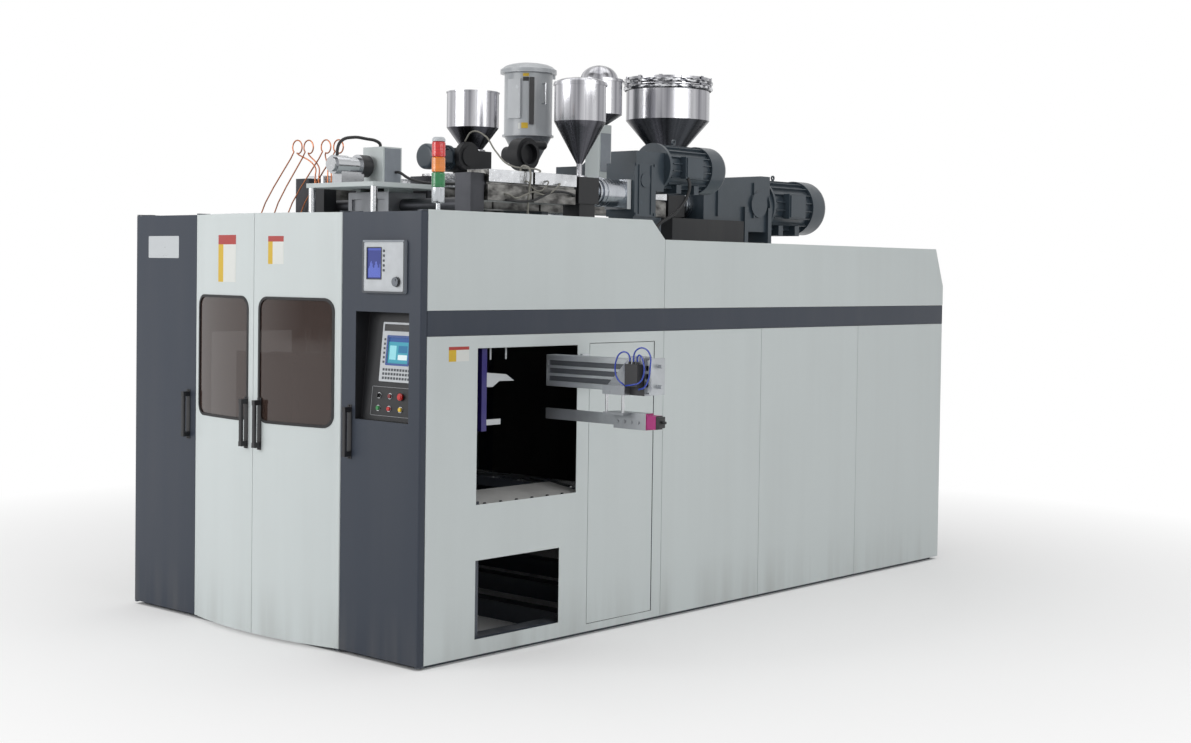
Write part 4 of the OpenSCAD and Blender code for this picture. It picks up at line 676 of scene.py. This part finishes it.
header_black = moulded("header_black", tone(22, 22, 25), 0.3)
on_console("screen_header", screen_x + 0.011, screen_z + 0.253, 0.228, 0.034, 0.0008, 0.0098,
           header_black)
z_on_face = 1.203 + (screen_z + 0.092) * math.cos(console_tilt)
display_x = screen_x + 0.048
picture = ((0, 0.154, 0.108, 0.13, tone(40, 80, 140)),
           (0.012, 0.06, 0.02, 0.09, tone(140, 205, 214)),
           (0.075, 0.142, 0.055, 0.09, tone(36, 110, 150)),
           (0.075, 0.142, 0.02, 0.045, tone(210, 226, 228)))
display = printed("display_picture", tone(60, 150, 170),
                  [(display_x + x0, display_x + x1, z_on_face + z0, z_on_face + z1, ink)
                   for x0, x1, z0, z1, ink in picture], roughness=0.12, glow=0.3)
on_console("display_glass", display_x, screen_z + 0.092, 0.154, 0.130, 0.0008, 0.0078, display)
display_blue = moulded("display_frame_blue", tone(52, 84, 150), 0.4)
blue_ring = upright_panel(display_x - 0.010, screen_z + 0.082, 0.174, 0.150, 0.006, 0.002, 0.011)
bmesh.ops.translate(blue_ring, vec=(0, -0.012, 0), verts=blue_ring.verts)
bmesh.ops.transform(blue_ring, matrix=console_face, verts=blue_ring.verts)
finished(blue_ring, "display_frame", "control_door", "pale_plastic", display_blue, bevel=0.0006)

key_places = [(screen_x + 0.030 + column * 0.021, screen_z + 0.018 + row * 0.021, 0.014, 0.012)
              for row in range(3) for column in range(10)]
key_places += [(x, screen_z + 0.098 + row * 0.0225, 0.013, 0.011)
               for row in range(6) for x in (screen_x + 0.024, screen_x + 0.226)]
keys = bmesh.new()
for x, z, width, height in key_places:
    bmesh.ops.create_cube(keys, size=1, matrix=console_face @ Matrix.Translation((x, -0.0128, z))
                          @ Matrix.Diagonal((width, 0.0016, height, 1)))
finished(keys, "screen_keys", "control_door", "pale_plastic", key_grey, bevel=0.0004)

button_columns, button_rows = (0.857, 0.938, 1.023), (0.060, 0.123)
outline = upright_panel(0.800, 0.022, 0.300, 0.146, 0.006, 0.0008, 0.0016)
bmesh.ops.transform(outline, matrix=console_face, verts=outline.verts)
line_paint = moulded("line_paint", tone(170, 172, 176), 0.5)
finished(outline, "button_plate_outline", "control_door", "pale_plastic", line_paint)

red = moulded("signal_red", tone(198, 32, 30), 0.3, coat=0.2)
dark_red = moulded("button_dark_red", tone(120, 28, 32), 0.3, coat=0.2)
green = moulded("button_green", tone(30, 132, 62), 0.3, coat=0.2)
yellow = moulded("button_yellow", tone(228, 190, 40), 0.3, coat=0.2)
buttons = (("start_button", "green_plastic", green), ("stop_button", "red_plastic", red),
           ("reset_button", "yellow_plastic", yellow),
           ("cycle_button", "dark_red_plastic", dark_red),
           ("emergency_stop", "red_plastic", red),
           ("selector_switch", "black_plastic", black_plastic))
for node, slot, material in buttons:
    dressed(node, node, slot, material, bevel=0.0012 if node != "emergency_stop" else 0.003)
bezels = bmesh.new()
for row, z in enumerate(button_rows):
    for x in button_columns:
        if row == 0 or x != button_columns[2]:
            at = console_face @ Matrix.Translation((x, -0.0032, z)) @ Matrix.Rotation(
                math.pi / 2, 4, "X")
            rims = []
            for radius in (0.0155, 0.0118):
                made = bmesh.ops.create_circle(bezels, cap_ends=False, segments=32,
                                               radius=radius, matrix=at)
                rims += list({edge for vert in made["verts"] for edge in vert.link_edges})
            bmesh.ops.bridge_loops(bezels, edges=rims)
outwards(bezels)
bmesh.ops.solidify(bezels, geom=bezels.faces[:], thickness=0.0022)
outwards(bezels)
finished(bezels, "button_bezels", "control_door", "bright_steel",
         ground_steel("bezel_chrome", tone(200, 202, 205), 0.2), bevel=0.0005)

# Mould stations: cast carriages in blue enamel with chromed tie bars, ground
# steel platens with an aluminium mould half each, and the blow pins' crosshead.
line_y = front + 0.82
carriage_blue = enamel("carriage_blue", tone(76, 97, 122))
chrome = ground_steel("hard_chrome", tone(205, 207, 210), 0.16)
platen_steel = ground_steel("platen_steel", tone(150, 153, 157), 0.3, (1, 1, 0.1))
mould_alloy = ground_steel("mould_alloy", tone(196, 199, 202), 0.3, (0.2, 1, 1))


def carriage_part(centre, normal):
    """Tie bars and the clamp cylinder are bright, the rest is painted."""
    between = abs(centre.y - line_y) < 0.359 and centre.z > 0.93
    return 1 if between or centre.y > line_y + 0.3901 and centre.z > 1.0 else 0


for side in ("right", "left"):
    dressed(side + "_carriage", side + "_carriage", "carriage_paint", carriage_blue, chrome,
            bevel=0.002, pick=carriage_part)
    for half in ("front", "rear"):
        dressed("%s_%s_platen" % (side, half), "%s_%s_platen" % (side, half), "bright_steel",
                platen_steel, mould_alloy, bevel=0.0015,
                pick=lambda centre, normal: 1 if abs(centre.y - line_y) < 0.0999 else 0)
    dressed(side + "_blow_pins", side + "_blow_pins", "bright_steel", chrome)

# Die head: a nitrided manifold with two dies in stainless heater bands, a pale
# plate on chromed posts above it, the servo cylinder and its oil lines.
head_steel = ground_steel("head_steel", tone(140, 142, 146), 0.35)
band_steel = ground_steel("band_steel", tone(190, 190, 192), 0.3, (1, 1, 0.1))
dressed("die_head", "machine", "bright_steel", head_steel, band_steel,
        pick=lambda centre, normal: 1 if 1.65 < centre.z < 2.10 else 0)


def platform_part(centre, normal):
    """The valve block is black, the posts and its rod are chromed."""
    if centre.x < -0.37:
        return 1 if centre.z < 2.4301 else 2
    return 2 if centre.z < 2.4049 and abs(centre.x) > 0.2 else 0


dressed("head_platform", "machine", "pale_paint", pale_coat, black_coat, chrome, bevel=0.0015,
        pick=platform_part)
servo_steel = ground_steel("servo_steel", tone(190, 192, 195), 0.22)
dressed("parison_servo", "machine", "bright_steel", servo_steel, black_plastic,
        pick=lambda centre, normal: 1 if centre.y - front > 0.6401 and centre.z > 2.46 else 0)


def boxes_part(centre, normal):
    """The boxes' lids on the right are darker."""
    return 1 if centre.x > (0.0755 if centre.z < 2.65 else 0.0605) else 0


dressed("control_boxes", "machine", "pale_paint", pale_coat, bezel_grey, bevel=0.002,
        pick=boxes_part)


def tube(name, body, slot, node, paths, radii, *materials, picks=None):
    """Round tubes through places in millimetres, which stand for a CAD node if it is named."""
    item = bmesh.new()
    for number, path in enumerate(paths):
        line = bpy.data.curves.new(name, "CURVE")
        line.dimensions = "3D"
        line.bevel_depth = radii[number]
        line.bevel_resolution = 3
        line.resolution_u = 5
        line.use_fill_caps = True
        spline = line.splines.new("BEZIER")
        spline.bezier_points.add(len(path) - 1)
        for point, place in zip(spline.bezier_points, path):
            point.co = spot(*place)
            point.handle_left_type = point.handle_right_type = "AUTO"
        holder = added(name + "_line", line)
        mesh = bpy.data.meshes.new_from_object(
            holder.evaluated_get(bpy.context.evaluated_depsgraph_get()))
        known = len(item.faces)
        item.from_mesh(mesh)
        item.faces.ensure_lookup_table()
        for face in item.faces[known:]:
            face.material_index = picks[number] if picks else 0
        bpy.data.objects.remove(holder)
        bpy.data.curves.remove(line)
        bpy.data.meshes.remove(mesh)
    bmesh.ops.remove_doubles(item, verts=item.verts, dist=0.00002)
    outwards(item)
    piece = finished(item, name, body, slot, *materials, angle=60)
    if node:
        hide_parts(node)
    return piece


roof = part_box("signal_tower")[0][2] * 1000
drawn_copper = Finish("drawn_copper", tone(206, 132, 92), 0.3, metallic=1.0)
drawn_copper.drive(base_color=drawn_copper.mix(drawn_copper.ramp(
    drawn_copper.noise(9, 4), 0.35, 0.75), drawn_copper.colour, tone(150, 92, 66)),
    roughness=drawn_copper.noise(30, 3) * 0.25 + 0.18)
drawn_copper.bump(drawn_copper.noise(90, 2), 0.0002)
line_feet, line_loops = (-900, -820, -735, -660), (-565, -505, -390, -320)
line_ends, loop_r = (-476, -462, -402, -388), 38
copper_paths = []
for i in range(4):
    centre = Vector((line_loops[i], 640 + 34 * i, 2655))
    path = [(line_feet[i], 640 + 34 * i, roof + 0.3), (line_feet[i], 640 + 34 * i, roof + 60)]
    for angle in range(230, -111, -20):
        turned = math.radians(angle)
        path.append(centre + Vector((loop_r * math.cos(turned), (230 - angle) / 340 * 14,
                                     loop_r * math.sin(turned))))
    path += [(line_ends[i], 706 + 16 * i, z) for z in (2540, 2480, 2430.3)]
    copper_paths.append(path)
tube("copper_oil_lines", "machine", "copper", "copper_lines", copper_paths, [0.004] * 4,
     drawn_copper.material)

# Extruders: nitrided barrels under crumpled aluminium covers, with painted shade
# on the covers' lower sides and creases, black feed blocks and turned couplings.
extruders = {"main": (0.0, 3310, 45), "right": (0.700, 1680, 32),
             "left": (-0.660, 2650, 32), "small": (-0.350, 1840, 20)}


def barrel_part(centre, normal):
    """Feed blocks are black, the rests painted, the barrels and pipes bare."""
    for x, feed, screw in extruders.values():
        reach = (screw + 28 + 16.5) / 1000
        if abs(centre.x - x) <= reach and abs(centre.y - front - feed / 1000) < 0.0851:
            return 1
    rest = abs(centre.y - front - 2.08) < 0.0301 and centre.z < 2.36
    return 2 if rest else 0


drive_enamel = enamel("drive_enamel", tone(56, 67, 76))
nitrided = ground_steel("nitrided_steel", tone(74, 75, 79), 0.4)
dressed("extruder_barrels", "machine", "bright_steel", nitrided, black_coat, drive_enamel,
        bevel=0.0015, pick=barrel_part)
cover = Finish("dented_aluminium", tone(216, 218, 221), 0.22, metallic=1.0)
dents = cover.noise(11, 3)
scratches = cover.noise(120, 2, (1, 0.06, 1))
cover.drive(base_color=cover.mix(cover.ramp(cover.noise(6, 5), 0.45, 0.85), cover.colour,
                                 tone(150, 152, 155)),
            roughness=scratches * 0.2 + cover.noise(16, 3) * 0.14 + 0.1)
cover.bump(dents + scratches * 0.03 + 0.35 * cover.noise(34, 3), 0.013)
# A darker copy of the cover aluminium is painted shade for the covers' lower sides, and it is
# darkened further in the creases as painted shade.
cover_painted_shade = Finish("cover_painted_shade", tone(112, 111, 108), 0.4, metallic=0.8)
creases_and_painted_shade = cover_painted_shade.noise(24, 4, (1, 0.5, 1))
cover_painted_shade.drive(base_color=cover_painted_shade.mix(cover_painted_shade.ramp(creases_and_painted_shade, 0.36, 0.66),
                                           tone(70, 69, 68), tone(146, 145, 142)),
                 roughness=creases_and_painted_shade * 0.3 + 0.22)
cover_painted_shade.bump(creases_and_painted_shade, 0.005)
# Lower faces that do not face up take the painted shade copy.
dressed("barrel_covers", "machine", "cover_sheet", cover.material, cover_painted_shade.material,
        bevel=0.004,
        pick=lambda centre, normal: 1 if centre.z < 2.4339 and normal.z < 0.9 else 0)
turned_steel = ground_steel("turned_steel", tone(196, 200, 206), 0.24, (0.01, 1, 0.01))
dressed("drive_couplings", "machine", "bright_steel", turned_steel, guard_pale, bevel=0.0015,
        pick=lambda centre, normal: 1 if abs(centre.x - 0.788) < 0.002 and normal.x > 0.9 else 0)
screw_steel = ground_steel("screw_steel", tone(172, 174, 176), 0.25)
for which in extruders:
    dressed(which + "_screw", which + "_screw", "bright_steel", screw_steel)

# Drives: cast gearboxes and finned motors in slate-blue enamel, each motor with
# a terminal box, a foot and a fan cowl. The main drive's plinth is black.


def gear_part(centre, normal):
    """The plinth under the main coupling and the metering drive are black."""
    y = centre.y - front
    metering = abs(centre.x + 0.33) < 0.12 and 1.60 < y < 1.78 and centre.z > 2.55
    plinth = abs(centre.x) <= 0.2001 and y < 3.9085 and centre.z < 2.3181
    return 1 if metering or plinth else 0


dressed("gearboxes", "machine", "drive_paint", drive_enamel, black_coat, bevel=0.004,
        pick=gear_part)
dressed("motors", "machine", "drive_paint", drive_enamel, bevel=0.0015)

# Hoppers: spun and rolled stainless sheet, polished round the axis, with
# clamped rims and lids, painted reflections in upright streaks and dark painted
# reflections on the cones. A black metering block stands under the smallest.
hopper_axes = ((0.0, 3.310, 0.31), (0.700, 1.680, 0.17), (0.0, 2.620, 0.17),
               (-0.350, 1.840, 0.17))


def spun_steel(name, bright, dull, roughness=0.2):
    """Stainless sheet polished round each hopper's axis, with painted reflections in upright
    light and dark streaks.
    """
    finish = Finish(name, bright, roughness, metallic=1.0)
    turned = 0.0
    for x, y, reach in hopper_axes:
        dx, dy = finish.x - x, finish.y - (front + y)
        near = (dx.math("ABSOLUTE", dx) < reach) * (dy.math("ABSOLUTE", dy) < reach)
        turned = near * dy.math("ARCTAN2", dy, dx) + turned
    around = finish.node("ShaderNodeCombineXYZ", None, {"X": turned, "Y": finish.z * 0.05})
    streaks = finish.node("ShaderNodeTexNoise", None,
                          {"Vector": around, "Scale": 3.2, "Detail": 3.0})
    rings = finish.noise(3, 3, (1, 1, 120))
    # The light and dark streaks round each axis are painted reflections.
    finish.drive(base_color=finish.mix(finish.ramp(streaks, 0.36, 0.62), dull, bright),
                 roughness=rings * 0.1 + streaks * 0.16 + (roughness - 0.1))
    finish.bump(rings, 0.0001)
    return finish.material


spun = spun_steel("spun_stainless", tone(198, 198, 202), tone(112, 112, 118))
# The cones' dark stainless is a painted reflection of the dark roof below them.
cone_painted_reflection = spun_steel("cone_stainless_painted_reflection", tone(96, 96, 102), tone(34, 34, 38), 0.24)


def hopper_part(centre, normal):
    """The metering block is black; the cones' dark stainless is a painted reflection of the dark
    roof below them.
    """
    if abs(centre.x + 0.35) <= 0.0801 and centre.z < 2.6921 and 1.74 < centre.y - front < 1.94:
        return 1
    return 2 if -0.95 < normal.z < -0.15 else 0


dressed("hoppers", "machine", "stainless", spun, black_coat, cone_painted_reflection, bevel=0.0012,
        pick=hopper_part)


def turned_piece(name, slot, x, y, outline, material, segments=48, bevel=0.0):
    """A ring or a solid spun round the upright line at x, y, from [radius, height] points."""
    item = bmesh.new()
    corners = [item.verts.new((x + radius, y, z)) for radius, z in outline]
    rim = [item.edges.new(pair) for pair in zip(corners, corners[1:])]
    bmesh.ops.spin(item, geom=corners + rim, cent=(x, y, 0), axis=(0, 0, 1), angle=2 * math.pi,
                   steps=segments, use_merge=True)
    bmesh.ops.remove_doubles(item, verts=item.verts, dist=0.00002)
    outwards(item)
    return finished(item, name, "machine", slot, material, bevel=bevel)


# The clamps' colour is dark in the folds and bright on them: painted shade and painted
# highlights that follow the crumple.
crumpled = Finish("crumpled_steel", tone(214, 215, 218), 0.2, metallic=1.0)
folds_and_painted_light = crumpled.noise(26, 4, (1, 1, 2))
crumpled.drive(base_color=crumpled.mix(crumpled.ramp(folds_and_painted_light, 0.42, 0.6), tone(70, 71, 76),
                                       crumpled.colour),
               roughness=folds_and_painted_light * 0.3 + 0.12)
crumpled.bump(folds_and_painted_light, 0.0025)
main_radius = 0.279
for number, z in enumerate((3.168, 3.205)):
    turned_piece("main_hopper_clamp_%d" % (number + 1), "stainless", 0, front + 3.31,
                 [(main_radius + 0.010, z), (main_radius + 0.019, z + 0.006),
                  (main_radius + 0.021, z + 0.015), (main_radius + 0.019, z + 0.024),
                  (main_radius + 0.010, z + 0.030), (main_radius + 0.010, z)],
                 crumpled.material, segments=72)

# Hopper dryer: pale enamelled drum with a hinged lid, a sight strip, a clean-out
# door, plain coloured fields, and a black blower with its duct in the cone.
dryer_enamel = enamel("dryer_enamel", tone(176, 180, 184), 0.34)
cone_grey = enamel("dryer_cone", tone(120, 124, 130), 0.3)
drum = Vector((-0.66, front + 2.65, 0))
drum_radius = 0.160
strip_turn = math.radians(-38)


def dryer_part(centre, normal):
    """The sight strip is dark, the wire handles are bright, the cone is a deeper grey."""
    aside = centre - drum
    along = aside.x * math.cos(strip_turn) + aside.y * math.sin(strip_turn)
    off = -aside.x * math.sin(strip_turn) + aside.y * math.cos(strip_turn)
    if abs(off) < 0.0161 and 0.1601 < along < 0.1721 and 2.92 <= centre.z <= 3.23:
        return 1
    wire = abs(aside.x) > 0.158 and abs(aside.y + 0.03) < 0.0051 and 3.05 < centre.z < 3.2
    return 2 if wire else (3 if centre.z < 2.846 else 0)


dressed("dryer", "machine", "pale_paint", dryer_enamel, black_plastic, chrome, cone_grey,
        pick=dryer_part)
dressed("dryer_lid", "dryer_lid", "pale_paint", dryer_enamel)
dressed("dryer_blower", "machine", "black_plastic", black_coat)


def drum_label(name, first, last, low, high, material):
    """A thin label that follows the drum between two angles in degrees."""
    item = bmesh.new()
    turned = Matrix.Rotation(math.radians(first), 4, "Z")
    ends = [item.verts.new(drum + turned @ Vector((drum_radius + 0.0004, 0, z)))
            for z in (low, high)]
    edge = item.edges.new(ends)
    bmesh.ops.spin(item, geom=ends + [edge], cent=drum, axis=(0, 0, 1),
                   angle=math.radians(last - first), steps=8)
    bmesh.ops.solidify(item, geom=item.faces[:], thickness=0.0004)
    outwards(item)
    return finished(item, name, "machine", "pale_paint", material)


field_yellow = moulded("field_yellow", label_yellow, 0.5)
drum_label("dryer_yellow_field", -62, -46, 2.895, 2.932, field_yellow)
drum_label("dryer_white_field", -70, -64, 2.892, 2.930, moulded("field_white", label_white, 0.5))
drum_label("dryer_dark_field", -59, -45, 3.205, 3.232, black_plastic)
drum_label("dryer_top_field", -59, -45, 3.236, 3.256, field_yellow)

# Signal tower: three ribbed lamp lenses of coloured plastic under a pale cap, on
# a bright steel stem whose foot stands on the roof.


def lens(name, colour):
    """Clear-coloured lamp lens over a white reflector, with painted highlights and shade along
    its ribs.
    """
    finish = Finish(name, colour, 0.16, coat=0.5)
    ribs_and_painted_light = finish.noise(2, 1, (1, 1, 60))
    # The lighter and darker bands along the ribs are painted highlight and painted shade.
    finish.drive(base_color=finish.mix(ribs_and_painted_light, shaded(colour, 0.7), shaded(colour, 1.3)))
    finish.bump(ribs_and_painted_light, 0.0008)
    return finish.material


tower_base = ground_steel("tower_base", tone(196, 200, 204), 0.22)
tower_x, tower_y = 1.090, front + 0.220
lamp_radius, lamp_height, lamp_z = 0.034, 0.076, 2.366
lamp_colours = (lens("green_lens", tone(20, 128, 70)), lens("amber_lens", tone(232, 128, 30)),
                lens("red_lens", tone(214, 30, 30)))
tower = turned_piece("signal_tower_stand", "lamp_stack", tower_x, tower_y,
                     [(0, 2.200), (0.036, 2.200), (0.036, 2.206), (0.011, 2.209), (0.011, 2.288),
                      (0.031, 2.290), (0.033, 2.296), (0.033, lamp_z), (0, lamp_z)], tower_base,
                     bevel=0.0006)
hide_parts("signal_tower")
for number, colour in enumerate(lamp_colours):
    z = lamp_z + number * lamp_height
    turned_piece(("green", "amber", "red")[number] + "_lamp", "lamp_stack", tower_x, tower_y,
                 [(0, z), (lamp_radius - 0.004, z), (lamp_radius, z + 0.004),
                  (lamp_radius, z + lamp_height - 0.006),
                  (lamp_radius - 0.004, z + lamp_height - 0.002), (0, z + lamp_height - 0.002)],
                 colour)
cap_z = lamp_z + 3 * lamp_height
turned_piece("tower_cap", "lamp_stack", tower_x, tower_y,
             [(0, cap_z), (lamp_radius - 0.001, cap_z), (lamp_radius - 0.001, cap_z + 0.012),
              (lamp_radius - 0.008, cap_z + 0.021), (0, cap_z + 0.022)], pale_plastic)

# Take-out unit: an anodised profile beam on an arm outside the opening, a
# trolley on it, and the gripper bar that hangs from the trolley on two rods.
anodised = ground_steel("anodised_profile", tone(186, 190, 194), 0.34, (0.05, 1, 1), 0.85)
bar_alloy = ground_steel("bar_alloy", tone(160, 163, 167), 0.34, (0.05, 1, 1), 0.85)
magenta = moulded("actuator_magenta", tone(168, 40, 116), 0.34)
# The groove floors get this darker grey as painted shade.
groove_painted_shade = ground_steel("groove_painted_shade", tone(92, 95, 100), 0.4, (0.05, 1, 1), 0.7)


def beam_part(centre, normal):
    """The floors of the profile's grooves are a darker grey as painted shade."""
    grooved = 0.794 < centre.y - front < 0.796 and normal.y < -0.5
    top_groove = 1.5215 < centre.z < 1.5225 and normal.z > 0.5
    return 1 if grooved or top_groove else 0


dressed("take_out_beam", "machine", "profile", anodised, groove_painted_shade, bevel=0.002,
        pick=beam_part)
trolley_block = moulded("valve_black", tone(40, 40, 43), 0.4)
trolley_alloy = ground_steel("trolley_alloy", tone(168, 171, 176), 0.3, (1, 1, 0.02), 0.9)
dressed("take_out_trolley", "take_out_trolley", "profile", trolley_alloy, trolley_block,
        bevel=0.0015,
        pick=lambda centre, normal: 1 if centre.x > 1.8949 and centre.y < front + 0.7709
        and centre.z > 1.3999 else 0)


def bar_part(centre, normal):
    """The actuator is magenta with a black end, the lift rods are chromed."""
    if centre.x > 1.9799:
        return 2 if centre.x > 2.0399 else 1
    return 3 if centre.z > 1.2671 else 0


dressed("gripper_bar", "gripper_bar", "profile", bar_alloy, magenta, black_plastic, chrome,
        bevel=0.0015, pick=bar_part)
dressed("gripper_jaw", "gripper_jaw", "profile", bar_alloy, bevel=0.0015)
hose_blue = moulded("hose_blue", tone(40, 66, 170), 0.25, coat=0.3)
air_paths = (
    ((1910, 745, 1522), (1910, 744, 1545), (1890, 740, 1566), (1855, 736, 1560),
     (1832, 734, 1525), (1826, 734, 1468), (1845, 734, 1430), (1880, 738, 1405),
     (1880, 750, 1394)),
    ((1935, 745, 1522), (1936, 744, 1550), (1962, 738, 1582), (2010, 736, 1590),
     (2046, 736, 1560), (2050, 734, 1500), (2040, 734, 1440), (2012, 736, 1400),
     (1972, 742, 1388)),
    ((1960, 745, 1522), (1961, 742, 1542), (1985, 732, 1556), (2012, 728, 1520),
     (2016, 726, 1462), (1994, 724, 1425), (1945, 722, 1410), (1906, 726, 1404),
     (1880, 744, 1398)))
tube("air_hoses", "take_out_trolley", "blue_tube", "air_lines", air_paths, [0.004] * 3,
     hose_blue)

# Cables: a black hose arched over the servo, a black lead to the right
# extruder, the temperature probes' leads along its covers, and the cable that
# drops from its motor to the roof, all in PVC sheaths.
sheath_black = moulded("sheath_black", tone(30, 30, 32), 0.5)
sheath_grey = moulded("sheath_grey", tone(128, 126, 118), 0.5)
servo_z, cover_z, right_x, small_x = 2530, 2502, 700, -350
cable_paths = (
    ((-30, 500, servo_z + 52.3), (-30, 500, servo_z + 80), (-28, 525, servo_z + 130),
     (-20, 600, servo_z + 155), (-10, 690, servo_z + 152), (0, 765, servo_z + 140),
     (0, 785, servo_z + 125), (0, 785, 2640.3)),
    ((80.3, 830, 2500), (110, 830, 2499), (170, 850, 2465), (240, 900, 2442),
     (300, 1000, 2440), (400, 1150, 2442), (500, 1250, 2436), (right_x - 95, 1290, 2436)),
    ((small_x + 90, 1690, 2742), (small_x + 140, 1700, 2800), (small_x + 220, 1720, 2780),
     (small_x + 340, 1700, 2680), (small_x + 560, 1600, 2580), (right_x - 120, 1480, 2530),
     (right_x - 60, 1400, cover_z + 5)),
    ((right_x, 1200, cover_z + 0.3), (right_x, 1200, cover_z + 16),
     (right_x + 20, 1190, cover_z + 30), (right_x + 62, 1180, cover_z + 30),
     (right_x + 99, 1172, cover_z + 8), (right_x + 102, 1165, cover_z - 100),
     (right_x + 98, 1160, cover_z - 190), (right_x + 98, 1160, roof + 0.3)))
tube("cable_runs", "machine", "grey_cable", "cables", cable_paths,
     [0.009, 0.008, 0.005, 0.006], sheath_black, sheath_grey, picks=(0, 0, 1, 1))
lead_x, lead_end_x = 803, 778
lead_paths = (
    ((1000, 2373), (1016, 2366), (1060, 2352), (1130, 2372), (1190, 2391), (1300, 2380),
     (1405, 2440), (1435, 2450)),
    ((1006, 2340), (1022, 2338), (1080, 2335), (1200, 2346), (1330, 2392), (1420, 2402),
     (1530, 2386), (1546, 2384)),
    ((1146, 2452), (1158, 2442), (1180, 2420), (1240, 2398), (1290, 2420), (1316, 2450),
     (1326, 2460)))
tube("probe_leads", "machine", "grey_cable", None,
     [[(lead_end_x if place in (path[0], path[-1]) else lead_x,) + place for place in path]
      for path in lead_paths], [0.005, 0.007, 0.004], sheath_grey, sheath_black, picks=(0, 1, 0))
motor_cable = ((846, 2473, 2540), (872, 2473, 2500), (868, 2470, 2440), (850, 2440, 2370),
               (834, 2380, 2312), (826, 2310, 2275), (818, 2260, 2245), (812, 2230, 2204))
tube("motor_cable", "machine", "grey_cable", None, [motor_cable], [0.010], sheath_black)
